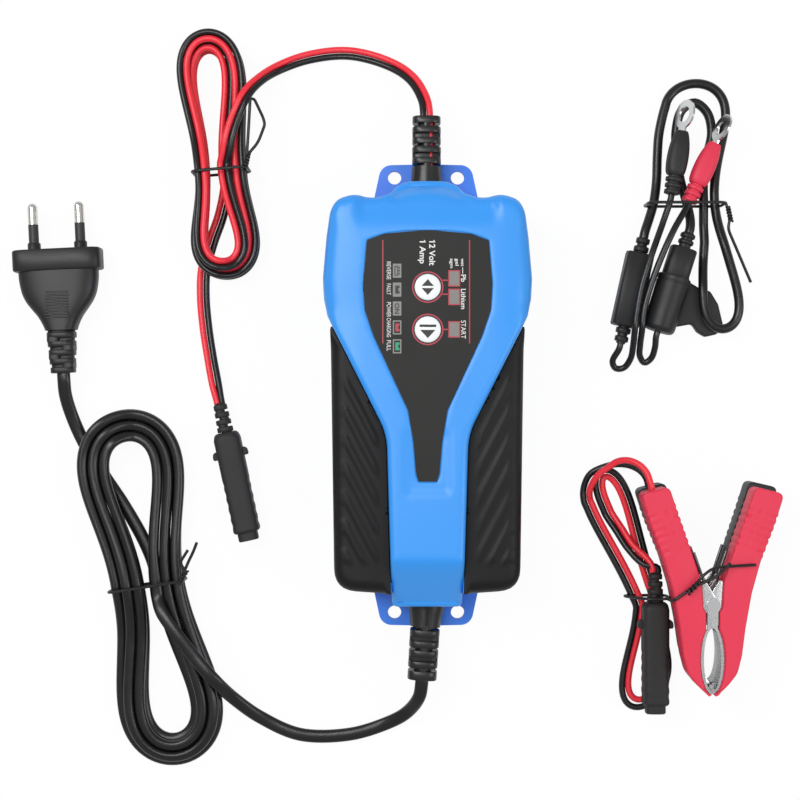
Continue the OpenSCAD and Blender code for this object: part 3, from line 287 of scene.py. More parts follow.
def swept(name, line, width, height, finish, slot, fullness=2.0, sides=16, roll=0.0, replaced=()):
    """A flex along a line. Width, height and roll may change from ring to ring."""
    count = len(line)
    ahead = directions(line)
    across = np.cross(ahead, [0, 0, 1])
    across /= np.linalg.norm(across, axis=1)[:, None]
    above = np.cross(across, ahead)
    turn = np.broadcast_to(np.radians(roll), count)[:, None]
    across, above = (
        across * np.cos(turn) + above * np.sin(turn), above * np.cos(turn) - across * np.sin(turn))
    angle = np.arange(sides) * 2 * math.pi / sides
    c, s = np.cos(angle), np.sin(angle)
    out = np.sign(c) * np.abs(c) ** (2 / fullness), np.sign(s) * np.abs(s) ** (2 / fullness)
    w = np.broadcast_to(width, count)[:, None] / 2 * out[0]
    h = np.broadcast_to(height, count)[:, None] / 2 * out[1]
    rings = line[:, None] + w[..., None] * across[:, None] + h[..., None] * above[:, None]
    return piece(name, rings.reshape(-1, 3), tube(count, sides), finish, slot, replaced=replaced)


def ease(x):
    x = np.clip(x, 0, 1)
    return x * x * (3 - 2 * x)


TIE = 1.2
HANK_RINGS = 72


def wound(centre, lean, reach, waist, bulge, loops, layers, step, rise, low, start, turn,
          shift=0.0, skew=0.0, hump=(0, 0, 0)):
    """The line of a hank's strand: drawn-in waist, a lobe above and below, layer on layer."""
    t = np.arange(round(HANK_RINGS * loops) + 1) / HANK_RINGS
    a = np.radians(start + turn * 360 * t)
    wrapped = (start + turn * 360 * t) % 360
    c, s = np.cos(a), np.sin(a)
    swell = np.where(s > 0, bulge[0], bulge[1])
    length = np.where(s > 0, reach[0], reach[1])
    x = c * (waist + swell * s * s)
    y = length * s
    dx = s * (2 * swell * c * c - waist - swell * s * s)
    dy = length * c
    size = np.hypot(dx, dy)
    if layers:
        one = loops / layers
        p = t / one % 2
        offset = one * np.where(p < 1, p, 2 - p)
        drop = sum((ease((t - k * one) * 2 + 0.5) for k in range(1, layers)), np.zeros_like(t))
    else:
        offset, drop = loops - t, np.zeros_like(t)
    out = step * offset + shift
    x, y = x + dy / size * out, y - dx / size * out
    x = x - skew * np.minimum(y, 0)
    lift = ease((wrapped - hump[0]) / 22 + 1) * ease((hump[1] - wrapped) / 22 + 1)
    z = low + rise * (max(layers, 1) - 1 - drop) + hump[2] * lift + TIE * np.abs(c) ** 12
    lean = math.radians(lean)
    return np.stack([
        centre[0] + x * math.cos(lean) - y * math.sin(lean),
        centre[1] + x * math.sin(lean) + y * math.cos(lean), z], axis=1)


LEVEL = 2.5


def level(line, at_end):
    """The short level stretch that leads into a strand's start, or out of its end."""
    a, b = (line[-2], line[-1]) if at_end else (line[1], line[0])
    ahead = (b - a) * [1, 1, 0]
    return b + LEVEL * ahead / np.linalg.norm(ahead)


def along(at, lean, y, x=0.0):
    """A point on, or beside, the axis of a piece placed at a point with a lean."""
    lean = math.radians(lean)
    return np.array([
        at[0] - y * math.sin(lean) + x * math.cos(lean),
        at[1] + y * math.cos(lean) + x * math.sin(lean), at[2]])


def cable(name, colour, gloss):
    """Soft PVC: a faint waviness from the extruder and dust in the grain."""
    skin = Finish(name, coat_weight=0.1, coat_roughness=0.25, specular_ior_level=0.4)
    fine, broad = skin.speckle(2.4), skin.speckle(0.09)
    skin.set(roughness=fine * 0.16 + broad * 0.14 + (gloss - 0.15))
    skin.tint(colour, tuple(min(1, c * 1.5 + 0.006) for c in colour), broad * 0.5)
    skin.bump(fine * 0.35 + broad, 0.05)
    return skin


flex_black = cable("flex_black", linear(15, 15, 16), 0.32)
wire_red = cable("wire_red", linear(230, 44, 58), 0.36)
wire_black = cable("wire_black", linear(15, 15, 16), 0.3)

RELIEF_LEAN, FLEX, FLEX_STEP = 3.5, (5.3, 3.3), 1.2
PLUG_AT, PLUG_LEAN, PLUG_END = (-147.7, 58.3, 6.85), 2.76, -50
mains_route = [
    (-2.9, -120, 12), (-8, -127.5, 6), (-16, -132.5, 2.2), (-31, -137, 1.7),
    (-51, -137, 1.7), (-67, -130, 1.8), (-77, -122, 5.5), (-84, -114, 10.9), (-93, -103.5, 11),
    (-101, -93, 11), (-105.5, -86.5, 10), (-107.5, -81, 7.6)]
mains_tail_route = [
    (-110, -68, 2), (-114, -58.5, 1.75), (-122, -44.5, 1.7), (-130, -32.5, 1.7),
    (-138, -19.5, 1.7), (-142.5, -9, 3), (-144.8, 0, 5.5)]
mains_hank = wound((-110.5, -76), 9, (59, 62), 2.3, (20, 20), 5, 2, 4.4, 4.4, 1.95, 0, 1,
                   hump=(105, 178, 3.8))
foot = (0, -HOUSING_END, RELIEF_Z)
mains_line = flowing([
    along(foot, -RELIEF_LEAN, -29), along(foot, -RELIEF_LEAN, -32), *mains_route,
    level(mains_hank, False), *mains_hank, level(mains_hank, True), *mains_tail_route,
    along(PLUG_AT, PLUG_LEAN, PLUG_END - 2), along(PLUG_AT, PLUG_LEAN, PLUG_END + 1)], FLEX_STEP)


def share_in_hank(line, hank):
    """1 where a line runs in its hank and 0 on its free ends."""
    near = np.array([np.min(np.linalg.norm(hank[::4] - p, axis=1)) for p in line[::4]]) < 4
    first, last = np.argmax(near) * 4, (len(near) - np.argmax(near[::-1])) * 4
    place = np.arange(len(line))
    return ease((place - first) / 14) * ease((last - place) / 14)


inside = share_in_hank(mains_line, mains_hank)
ROCK, ROCK_RUN = 22, 61
rock = ROCK * np.sin(np.arange(len(mains_line)) * FLEX_STEP / ROCK_RUN) * inside
mains_flex = swept(
    "mains_flex", mains_line, FLEX[0] - 1.1 * inside, FLEX[1] + 0.3 * inside, flex_black, "flex_black",
    fullness=2.6, roll=rock, replaced=("mains_lead", "mains_lead_hank", "mains_lead_tail"))

# ------------------------------------------------------------------ output lead
# A red and a black PVC wire side by side, from the strain relief at the head through a hank
# of four loops to the moulded connector.

WIRE, PAIR = 2.6, 2.7
OUTPUT_AT, OUTPUT_LEAN = (-82.9, -3.6, 5.4), 12.2
output_route = [
    (-0.8, 117, 12.8), (-5.5, 126, 9), (-14.5, 133, 4.5), (-31, 138, 1.5),
    (-47, 136.5, 1.5), (-59, 132, 3), (-66.5, 126, 9), (-71.5, 119.5, 13.6),
    (-75.5, 111, 14.2), (-78.4, 102, 14.2), (-79.8, 95.5, 12.9)]
output_tail_route = [
    (-80.8, 82, 1.4), (-83, 72, 1.35), (-86.6, 61.8, 1.35), (-89.6, 50.5, 1.35),
    (-90, 40, 1.35), (-89, 28, 1.4), (-87, 15.5, 2.5), (-84.6, 4, 5)]


def beside(points, gap):
    """Points moved sideways from the line that they follow."""
    points = np.array(points, float)
    return points + gap * np.cross(directions(points), [0, 0, 1])


output_wires = []
for name, side, skin, slot in (
    ("output_red_wire", 1, wire_red, "wire_red"), ("output_black_wire", -1, wire_black, "flex_black"),
):
    strand = wound((-83.4, 89.2), 4.8, (50, 36), 3, (12, 12), 4, 4, 5.8, 3.1, 1.3, 0, -1,
                   shift=-side * PAIR / 2, hump=(182, 262, 3.1))
    lead = beside([(0, 109, RELIEF_Z), (0, 111.5, RELIEF_Z), *output_route], side * PAIR / 2)
    tail = beside([*output_tail_route, along(OUTPUT_AT, OUTPUT_LEAN, 2), along(OUTPUT_AT, OUTPUT_LEAN, -1)],
                  side * PAIR / 2)
    tail[-2:] = [along(OUTPUT_AT, OUTPUT_LEAN, y, -side * 1.0) for y in (2, -1)]
    line = flowing([*lead, level(strand, False), *strand, level(strand, True), *tail], 1.1)
    output_wires.append((line, swept(name, line, WIRE, WIRE, skin, slot, sides=12)))
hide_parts("output_lead", "output_lead_hank")
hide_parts("output_lead_tail")

# ------------------------------------------------------------------ clamp lead
# The same pair of wires from its connector, once round and up to the handles of the clamps,
# where each wire goes into the open end of a grip.

CLAMP_CONNECTOR_AT = (91.4, -71, 9.2)
CLAMP_T = 12.6
RED_CLAMP_AT, BLACK_CLAMP_AT, BLACK_CLAMP_LEAN = (111.4, -81.8, 12.9), (112.6, -80.5, 0), 1
red_handle_route = [
    (87.8, -34.2, 19.2), (86.6, -30.6, 18.4), (84, -27.6, 16.6), (80, -25.9, 14.2),
    (76, -26.4, 11.6), (72.6, -28.9, 9.4), (69.5, -31.3, 7.8), (67.2, -34.5, 6.2), (65.9, -38.3, 4.1)]
black_handle_route = [
    (88.2, -33.4, 6.2), (86, -30.5, 5.7), (82, -28.4, 5.2), (77, -27.8, 4.7),
    (71.5, -28.9, 4.2), (66, -32, 2.8), (63.6, -38, 1.5)]
clamp_tail_route = [(77.6, -54, 3.4), (82, -61, 6), (87.6, -66.6, 8.4)]
clamp_wires = []
for name, side, skin, slot, handle, end in (
    ("clamp_red_wire", -1, wire_red, "wire_red", red_handle_route,
     np.array(RED_CLAMP_AT) + [-22.6, 43.5, CLAMP_T / 2]),
    ("clamp_black_wire", 1, wire_black, "flex_black", black_handle_route,
     along(np.array(BLACK_CLAMP_AT) + [-22.6, -0.2, CLAMP_T / 2], BLACK_CLAMP_LEAN, 43.5)),
):
    strand = wound((90.9, -83), 20.5, (54, 34), 0.2, (10, 13), 1.01, 0, 5.9, 0, 1.3, 125, 1,
                   shift=side * PAIR / 2, skew=-0.44)
    out = beside([*clamp_tail_route, np.array(CLAMP_CONNECTOR_AT) + [0, 2, 0]], side * PAIR / 2)
    out = [*out[:-1], *[np.array(CLAMP_CONNECTOR_AT) + [side * 1.0, y, 0] for y in (2, -1)]]
    line = flowing([end, *handle, level(strand, False), *strand, level(strand, True), *out], 1.0)[::-1]
    clamp_wires.append((line, swept(name, line, WIRE, WIRE, skin, slot, sides=12)))
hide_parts("clamp_lead")
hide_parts("clamp_lead_hank")

# ------------------------------------------------------------------ eyelet lead
# Round jacketed flex from the fuse holder through a hank to the capped connector; one thin
# wire from each ring terminal's boot, the black one to the fuse and the red one to the cap.

JACKET = 3.8
EYELET_AT, EYELET_LEAN, CAP_END = (105, 64.5, 7.3), -17.5, -41
FUSE_AT, FUSE_LEAN = (82.8, 42.2, 5), -12.4
BLACK_BOOT_AT, BLACK_BOOT_LEAN = (97.8, 80, 9.6), 170.4
RED_BOOT_AT, RED_BOOT_LEAN = (104.8, 76.9, 9.6), 156
fuse_top_route = [(89.8, 71, 4), (91.6, 77, 3.4), (93, 86, 2.2), (93.4, 96, 1.9), (94, 105, 1.9)]
connector_route = [
    (112, 68, 2.4), (111.8, 77, 3.4), (112, 87, 2.2), (113.6, 97, 1.9), (115.3, 106, 1.9),
    (113.5, 114, 1.9), (108.5, 118, 1.9), (103.3, 115, 1.9), (101, 107, 1.9), (101.2, 97, 1.9),
    (102.6, 87, 2.2), (104.9, 77, 4.2), (105.9, 70, 6.4)]
left_boot_route = [
    (94.5, 69, 9.6), (90, 57, 11.8), (86, 45, 12.2), (83.6, 33, 12.2), (82.9, 26, 11.8),
    (82.8, 20, 8), (82.2, 14.5, 4.2), (79.8, 11, 2.2), (76.6, 10.8, 1.8), (75.2, 13.6, 2.8)]
right_boot_route = [
    (98.5, 66, 12.4), (93, 54, 12.8), (88.7, 42, 12.2), (86.4, 33, 12.2), (85.8, 26, 11.6),
    (85.6, 20, 7.6), (86, 15.6, 4.4), (88, 13, 3.2), (90.6, 14.8, 4), (91.8, 19, 6)]
eyelet_hank = wound((113, 76), 6, (47, 49), 1.5, (22, 14), 0.78, 0, 4.3, 0, 1.9, 120, -1,
                    skew=0.02, hump=(225, 336, 4.4))
jacket_line = flowing([
    along(FUSE_AT, FUSE_LEAN, 21), along(FUSE_AT, FUSE_LEAN, 24), *fuse_top_route,
    level(eyelet_hank, False), *eyelet_hank, level(eyelet_hank, True), *connector_route,
    along(EYELET_AT, EYELET_LEAN, 2), along(EYELET_AT, EYELET_LEAN, -1)], 1.1)
left_line = flowing([
    along(BLACK_BOOT_AT, BLACK_BOOT_LEAN, -1), along(BLACK_BOOT_AT, BLACK_BOOT_LEAN, 2),
    *left_boot_route, along(FUSE_AT, FUSE_LEAN, -24), along(FUSE_AT, FUSE_LEAN, -21)], 0.9)
right_line = flowing([
    along(RED_BOOT_AT, RED_BOOT_LEAN, -1), along(RED_BOOT_AT, RED_BOOT_LEAN, 2),
    *right_boot_route, along(EYELET_AT, EYELET_LEAN, CAP_END - 2),
    along(EYELET_AT, EYELET_LEAN, CAP_END + 1)], 0.9)
eyelet_flex = swept("eyelet_flex", jacket_line, JACKET, JACKET, flex_black, "flex_black",
                    replaced=("eyelet_lead", "eyelet_lead_hank"))
eyelet_left_wire = swept("eyelet_left_wire", left_line, WIRE, WIRE, wire_black, "flex_black", sides=12)
eyelet_right_wire = swept("eyelet_right_wire", right_line, WIRE, WIRE, wire_black, "flex_black", sides=12)


# ------------------------------------------------------------------ plug and its pins
# Two-pole mains plug, moulded on the flex in black PVC: a flange, a drawn-in grip with fine
# grooves, and a slotted neck that bends. The pins are nickelled, with black sleeves at the root.

PIN_PITCH, SLEEVE, RIB = 18.6, 10.3, 0.42


def moulded(name, colour, gloss, grain=1.6, depth=0.012, coat=0.0, sheen=0.5):
    """Moulded plastic: a fine spark-eroded grain, with handling marks in its gloss."""
    skin = Finish(name, coat_weight=coat, coat_roughness=0.18, specular_ior_level=sheen)
    fine, broad = skin.speckle(grain, 3.0), skin.speckle(0.05, 3.0)
    skin.set(roughness=broad * 0.22 + fine * 0.1 + (gloss - 0.16))
    skin.tint(colour, tuple(c * 0.8 + 0.01 for c in colour), broad * 0.35)
    skin.bump(fine, depth)
    return skin


def bright_metal(name, colour, gloss, stretch=(1, 1, 1)):
    """Plated or drawn metal: fine lines along it, and stains in its shine."""
    skin = Finish(name, base_color=colour, metallic=1.0)
    lines, stains = skin.speckle(1.4, 3.0, stretch), skin.speckle(0.12, 3.0)
    skin.set(roughness=lines * 0.14 + stains * 0.16 + (gloss - 0.12))
    skin.tint(colour, tuple(c * 0.72 for c in colour), stains * 0.4)
    skin.bump(lines, 0.008)
    return skin


def laid(points, at, lean):
    """Points drawn along Y from the origin, brought to their place on the bench."""
    points = np.array(points, float)
    a = math.radians(lean)
    x = points[:, 0] * math.cos(a) - points[:, 1] * math.sin(a)
    y = points[:, 0] * math.sin(a) + points[:, 1] * math.cos(a)
    return np.stack([x, y, points[:, 2]], axis=1) + np.array(at, float)


def bar(stations, sides=32):
    """A bar along Y through stations of (y, width, height, squareness) and, where it lies aside, x."""
    angle = (np.arange(sides) + 0.5) * 2 * math.pi / sides
    c, s = np.cos(angle), np.sin(angle)
    verts = []
    for y, w, h, n, *shift in stations:
        x = np.sign(c) * np.abs(c) ** (2 / n) * w / 2 + sum(shift)
        z = np.sign(s) * np.abs(s) ** (2 / n) * h / 2
        verts += [(px, y, pz) for px, pz in zip(x, z)]
    return verts, tube(len(stations), sides)


def band(start, end, width, height, squareness=2.6, soft=0.45):
    """Stations of one raised band with softened edges, from start to end along Y."""
    step = soft if end > start else -soft
    return [(y, width - inset, height - inset, squareness) for y, inset in (
        (start, 2 * soft), (start + step * 0.3, 0.8 * soft), (start + step, 0),
        (end - step, 0), (end - step * 0.3, 0.8 * soft), (end, 2 * soft))]


def rib(y, half, high, z, up):
    """A raised rib across a face, reaching so far to each side."""
    profile = ((-RIB, 0), (-RIB * 0.4, high), (RIB * 0.4, high), (RIB, 0))
    verts = [(x, y + dy, up * (z + dz)) for x in (-half, half) for dy, dz in profile]
    return verts, [(0, 1, 5, 4), (1, 2, 6, 5), (2, 3, 7, 6), (0, 3, 7, 4), (0, 3, 2, 1), (4, 5, 6, 7)]


def joined(*parts):
    """Several lots of points and faces as one."""
    verts, faces = [], []
    for v, f in parts:
        faces += [tuple(len(verts) + k for k in face) for face in f]
        verts += [tuple(p) for p in v]
    return verts, faces


def placed(name, at, lean, parts, *settings, **others):
    """A piece joined from parts that were drawn along Y, brought to its place on the bench."""
    verts, faces = joined(*parts)
    return piece(name, laid(verts, at, lean), faces, *settings, **others)


plug_black = moulded("plug_black", linear(30, 30, 31), 0.4, sheen=0.35)
FLANGE_L, FLANGE_W, FLANGE_H = 8.6, 35.3, 13.7
grip = [(y, 2 * half, 12.3 + 0.03 * (y + FLANGE_L)) for y, half in (
    (-8.6, 15.9), (-11.5, 15.8), (-14.5, 15.4), (-17.6, 14.7), (-20.7, 13.3), (-23.8, 11.1),
    (-26.8, 8.8), (-29.9, 7.1), (-32.4, 6.1))]
grip = [(*station, 3.2) for station in flowing(grip, 0.8)]
neck, webs = [(-32.2, 10, 9, 3)], []
for i in range(5):
    start, wide, high = -33.2 - i * 3.5, 11.4 - 0.42 * i, 10 - 0.45 * i
    neck += band(start, start - 2.3, wide, high, 3.4, 0.3)
    if i < 4:
        neck += [(start - d, wide - 1.2, high - 4, 3.4) for d in (2.32, 3.48)]
        side = (0.25 if i % 2 else -0.25) * wide
        webs.append(bar([(start - d, wide * 0.46, high - 0.15, 4.5, side) for d in (2, 3.8)]))
parts = [bar(band(0, -FLANGE_L, FLANGE_W, FLANGE_H, 5.5, 0.7), 64), bar(grip, 64), bar(neck, 48), *webs]
for x in (-PIN_PITCH / 2, PIN_PITCH / 2):
    parts.append(bar([(y, d, d, 2, x) for y, d in ((-1, 5.2), (2.5, 5.2), (3, 4.6), (3.02, 4.04))], 24))
for y in -17.4 - np.arange(9) * 1.25:
    parts += [rib(y, 4.6, 0.5, 5.98 + 0.015 * (y + FLANGE_L), up) for up in (-1, 1)]
plug_body = placed("plug_body", PLUG_AT, PLUG_LEAN, parts, plug_black, "plug_black", replaced=("mains_plug",))

nickel = linear(222, 221, 217)
pin_metal = bright_metal("pin_metal", nickel, 0.2)
lean = math.radians(PLUG_LEAN)
where = pin_metal.node("TexCoord", out="Object")
reach = pin_metal.node("VectorMath", {"operation": "DOT_PRODUCT"},
                       {0: where, 1: (-math.sin(lean), math.cos(lean), 0)}, out="Value")
root = (-math.sin(lean) * PLUG_AT[0] + math.cos(lean) * PLUG_AT[1]) * MM
bare = pin_metal.between(reach, root + (SLEEVE - 0.05) * MM, root + (SLEEVE + 0.05) * MM)
stains = pin_metal.speckle(0.3, 3.0)
pin_metal.tint(linear(40, 40, 41), nickel, bare)
pin_metal.set(metallic=bare, roughness=0.42 - bare * 0.26 + stains * 0.1)


def dress(finish, *names):
    """Gives kept pieces their finish."""
    for name in names:
        mesh = nodes[name].data
        mesh.materials.clear()
        mesh.materials.append(finish.material)


dress(pin_metal, "plug_pins")

# ------------------------------------------------------------------ connectors
# Two-pole connectors, overmoulded in matt black PVC on the output lead and the clamp lead: a
# slotted relief, a body with an ear on each side and thumb scallops, and a smaller tip.


def connector(name, at, lean, node):
    relief = [(0.4, 3.4, 3.2, 2.4)]
    for i in range(4):
        start, wide = -0.4 - i * 3, 5.5 + 0.3 * i
        relief += band(start, start - 2.1, wide, wide - 0.3, 2.6, 0.3)
        relief += [(start - d, 3.9, wide - 0.7, 2.6, 0.5 if i % 2 else -0.5) for d in (2.12, 2.98)]
    shoulder = [(-11.6, 7, 6.6, 2.8), (-11.9, 8.6, 8, 3), (-12.6, 9.8, 9.1, 3.2), (-13.8, 10.5, 9.7, 3.6)]
    body = [(y, 10.7 - 0.5 * ease((y + 30) / -3) * (0.5 - 0.5 * math.cos((y + 30) * math.pi / 2.1)) *
             (y > -50.8), 9.8, 4.2) for y in np.arange(-14.5, -51.7, -0.35)]
    end = [(-52.1, 10.3, 9.5, 4), (-52.5, 9.6, 8.8, 4), (-52.52, 8.1, 6.8, 3.6), (-55.6, 8.1, 6.8, 3.6),
           (-56, 7.5, 6.2, 3.4)]
    parts = [bar(relief), bar(shoulder + body + end, 48)]
    for side in (-1, 1):
        ear = []
        steps = [(-18.6, 0.2), (-18.9, 1.2), (-19.6, 1.8), (-20.6, 2.0), (-21.4, 2.0), (-22, 1.7), (-22.1, 0.2)]
        for y, out in steps:
            ear += [(side * (5.1 + out * f), y, z) for f, z in (
                (-1.5, -2), (0.8, -2), (1, -1.5), (1, 1.5), (0.8, 2), (-1.5, 2))]
        parts.append((ear, tube(len(steps), 6)))
    made = placed(name, at, lean, parts, connector_black, "plug_black", replaced=(node,))
    # Each socket is a near-black disc laid on the tip: painted shade that stands for the dark inside of the hole.
    poles = [bar([(-56.04, 3.2, 3.2, 2, x), (-55.8, 3.2, 3.2, 2, x)], 24) for x in (-2.3, 2.3)]
    placed(name + "_sockets", at, lean, poles, socket_hole_shade, "part_black")
    return made


connector_black = moulded("connector_black", linear(38, 37, 37), 0.52, 2.2, 0.02, sheen=0.3)
# Near-black finish for the socket discs: painted shade of the socket holes.
socket_hole_shade = moulded("socket_hole_shade", linear(12, 12, 12), 0.6)
output_connector = connector("output_connector_body", OUTPUT_AT, OUTPUT_LEAN, "output_connector")
clamp_connector = connector("clamp_connector_body", CLAMP_CONNECTOR_AT, 0, "clamp_connector")

# ------------------------------------------------------------------ capped connector and fuse holder
# On the eyelet lead: a connector pushed into a round rubber cap, whose soft cover lies open
# beside it, and an inline holder for a blade fuse with a short relief at each end.

rubber = moulded("rubber_black", linear(28, 28, 28), 0.46, 1.2, 0.02, sheen=0.35)
body = band(-6, -20, 10.7, 9.8, 3.6, 0.6)
relief = [(0.4, 4.4, 4.2, 2.4), *band(0, -1.8, 6, 5.6), (-1.82, 4.6, 4.4, 2.4), (-2.6, 4.6, 4.4, 2.4),
          *band(-2.6, -4.4, 6.2, 5.8), (-4.42, 4.8, 4.4, 2.4), (-6.2, 4.8, 4.4, 2.4)]
cap = [(y, d, d, 2) for y, d in (
    (-17.9, 11.6), (-18, 12.8), (-18.4, 13.4), (-20, 13.4), (-20.2, 13.1), (-20.6, 13.1), (-20.8, 13.4),
    (-38.6, 13.0), (-39.8, 12.6), (-40.6, 11.4), (-41, 9.4), (-41.05, 4))]
cover = [(103.8, 58.5), (105.9, 52), (106.2, 45.5), (110, 43.2), (114.6, 41.8), (117.8, 36.5),
         (119.9, 27.5), (117, 24.4), (112.6, 23.4), (109.4, 25.3), (107.2, 28.6), (99.5, 27.2),
         (97.5, 32), (100, 44)]
COVER_T, COVER_EDGE = 3.8, 0.9


def corner(start, here, end, count):
    """The soft bend that takes the place of a corner, from one point to another."""
    return [(1 - t) ** 2 * start + 2 * t * (1 - t) * here + t * t * end for t in np.linspace(0, 1, count)]


def rounded(points, radius, spacing=0.8):
    """A closed outline with its corners rounded, as points an even step apart."""
    points = np.array(points, float)
    count = len(points)
    radius = np.broadcast_to(radius, count)
    line = []
    for i in range(count):
        here, back, on = points[i], points[i - 1], points[(i + 1) % count]
        to_back, to_on = back - here, on - here
        room = min(np.linalg.norm(to_back), np.linalg.norm(to_on)) * 0.48
        to_back, to_on = to_back / np.linalg.norm(to_back), to_on / np.linalg.norm(to_on)
        turn = math.acos(np.clip(-np.dot(to_back, to_on), -1, 1))
        cut = min(room, radius[i] * math.tan(turn / 2))
        line += corner(here + to_back * cut, here, here + to_on * cut, 7 if cut > 0.3 else 2)
    return evenly(np.array([*line, line[0]]), spacing)[:-1]


def outward(outline):
    """The outward direction at each point of a closed outline."""
    ahead = np.roll(outline, -1, axis=0) - np.roll(outline, 1, axis=0)
    ahead /= np.linalg.norm(ahead, axis=1)[:, None]
    area = np.sum(outline[:, 0] * np.roll(outline[:, 1], -1) - outline[:, 1] * np.roll(outline[:, 0], -1))
    return np.stack([ahead[:, 1], -ahead[:, 0]], axis=1) * (1 if area > 0 else -1)


def within(points, outline):
    """Which points lie inside a closed outline."""
    x, y = points[:, 0][:, None], points[:, 1][:, None]
    x0, y0 = outline[:, 0], outline[:, 1]
    x1, y1 = np.roll(x0, -1), np.roll(y0, -1)
    with np.errstate(divide="ignore", invalid="ignore"):
        crossing = ((y0 > y) != (y1 > y)) & (x < (x1 - x0) * (y - y0) / (y1 - y0) + x0)
    return crossing.sum(axis=1) % 2 == 1


def filled(outline, holes=(), grid=1.5):
    """Triangles over an outline, less its holes, with an even field of points inside.

    Gives back all points, the outline's first and the holes' next, and the triangles.
    """
    rings = [outline, *holes]
    low, high = outline.min(axis=0), outline.max(axis=0)
    across = np.arange(low[0] + grid / 2, high[0], grid)
    up = np.arange(low[1] + grid / 2, high[1], grid)
    field = np.array([(x + (grid / 2 if j % 2 else 0), y) for j, y in enumerate(up) for x in across])

    def inside(points):
        found = within(points, outline)
        for hole in holes:
            found &= ~within(points, hole)
        return found

    field = field[inside(field)]
    edge = np.vstack(rings)
    gap = np.full(len(field), 1e9)
    for start in range(0, len(edge), 64):
        reach = np.linalg.norm(field[:, None] - edge[None, start:start + 64], axis=2).min(axis=1)
        gap = np.minimum(gap, reach)
    field = field[gap > grid * 0.55]
    points = np.vstack([edge, field])
    bounds, start = [], 0
    for ring in rings:
        bounds += [(start + i, start + (i + 1) % len(ring)) for i in range(len(ring))]
        start += len(ring)
    made = delaunay_2d_cdt([Vector(p) for p in points], bounds, [], 0, 1e-7)
    origin = [source[0] if source else 0 for source in made[3]]
    faces = np.array([[origin[k] for k in face] for face in made[2]])
    return points, [tuple(f) for f in faces[inside(points[faces].mean(axis=1))]]


EDGE_ROWS = 8


def raised(points, heights):
    return [(x, y, z) for (x, y), z in zip(points, heights)]


def slab(outline, low, soft, top, holes=(), grid=2.5, closed=True, lower_soft=0):
    """A plate over an outline, from one height up to another, with a rounded upper edge.

    top is the upper face's height, or a function that gives it for points. low and soft, the
    edge's radius, are one for all points or one for each.
    """
    away, count = outward(outline), len(outline)
    soft = np.broadcast_to(soft, count).astype(float)
    height = top if callable(top) else lambda points: np.full(len(points), float(top))
    rings = [(outline - away * lower_soft * (1 - math.cos(b)), low + lower_soft * (1 - math.sin(b)))
             for b in np.radians((90, 60, 30) if lower_soft else ())]
    rings.append((outline, low + lower_soft))
    crest = height(outline - away * soft[:, None])
    for b in np.radians(np.linspace(0, 90, EDGE_ROWS - 1)):
        rings.append((outline - away * (soft * (1 - math.cos(b)))[:, None], crest - soft * (1 - math.sin(b))))
    verts = [v for place, z in rings for v in raised(place, np.broadcast_to(z, count))]
    points, skin = filled(rings[-1][0], holes, grid)
    start = (len(rings) - 1) * count
    verts += raised(points[count:], height(points[count:]))
    faces = tube(len(rings), count, False) + [tuple(start + k for k in face) for face in skin]
    if closed:
        faces.append(tuple(range(count)))
    return verts, faces


verts, faces = joined(bar(relief), bar(body, 40), bar(cap, 64))
verts, faces = joined((laid(verts, EYELET_AT, EYELET_LEAN), faces), slab(rounded(cover, 1.6), 0, COVER_EDGE, COVER_T))
eyelet_connector = piece("capped_connector", verts, faces, rubber, "plug_black", replaced=("eyelet_connector",))

holder = band(15, -15, 11, 10, 6, 0.7)
relief = []
for end in (1, -1):
    for i in range(2):
        start = end * (15 + 0.6 + i * 3.4)
        relief.append(bar(band(start, start + end * 2.2, 6 - 0.5 * i, 5.8 - 0.5 * i, 2.8, 0.35)))
    relief.append(bar([(end * 14.8, 4.6, 4.4, 2.4), (end * 22, 3.6, 3.6, 2.2)]))
seam = bar(band(15.06, -15.06, 11.12, 0.5, 6, 0.1))
fuse_holder = placed("fuse_holder_body", FUSE_AT, FUSE_LEAN, [bar(holder, 48), seam, *relief], rubber,
                     "plug_black", replaced=("fuse_holder",))
# ------------------------------------------------------------------ strain reliefs
# Black PVC reliefs held in the end walls of the housing. Each has a flared neck with flutes,
# then slotted bands that let it bend; their slots face the sides and alternate on the output.

SLOT, COLLAR = 1.7, 14.9
relief_black = moulded("relief_black", linear(26, 26, 26), 0.34, 1.4, 0.014, 0.1, 0.4)


def block(start, end, wide, tall):
    """Stations of one block of a relief, hollow at both ends."""
    half = [(0.75, 4.2), (0.12, 1.1), (0, 0.6), (0.12, 0.2), (0.4, 0)]
    return [(start + y, wide - less, tall - less, 3.4) for y, less in half] + \
        [(end - y, wide - less, tall - less, 3.4) for y, less in half[::-1]]


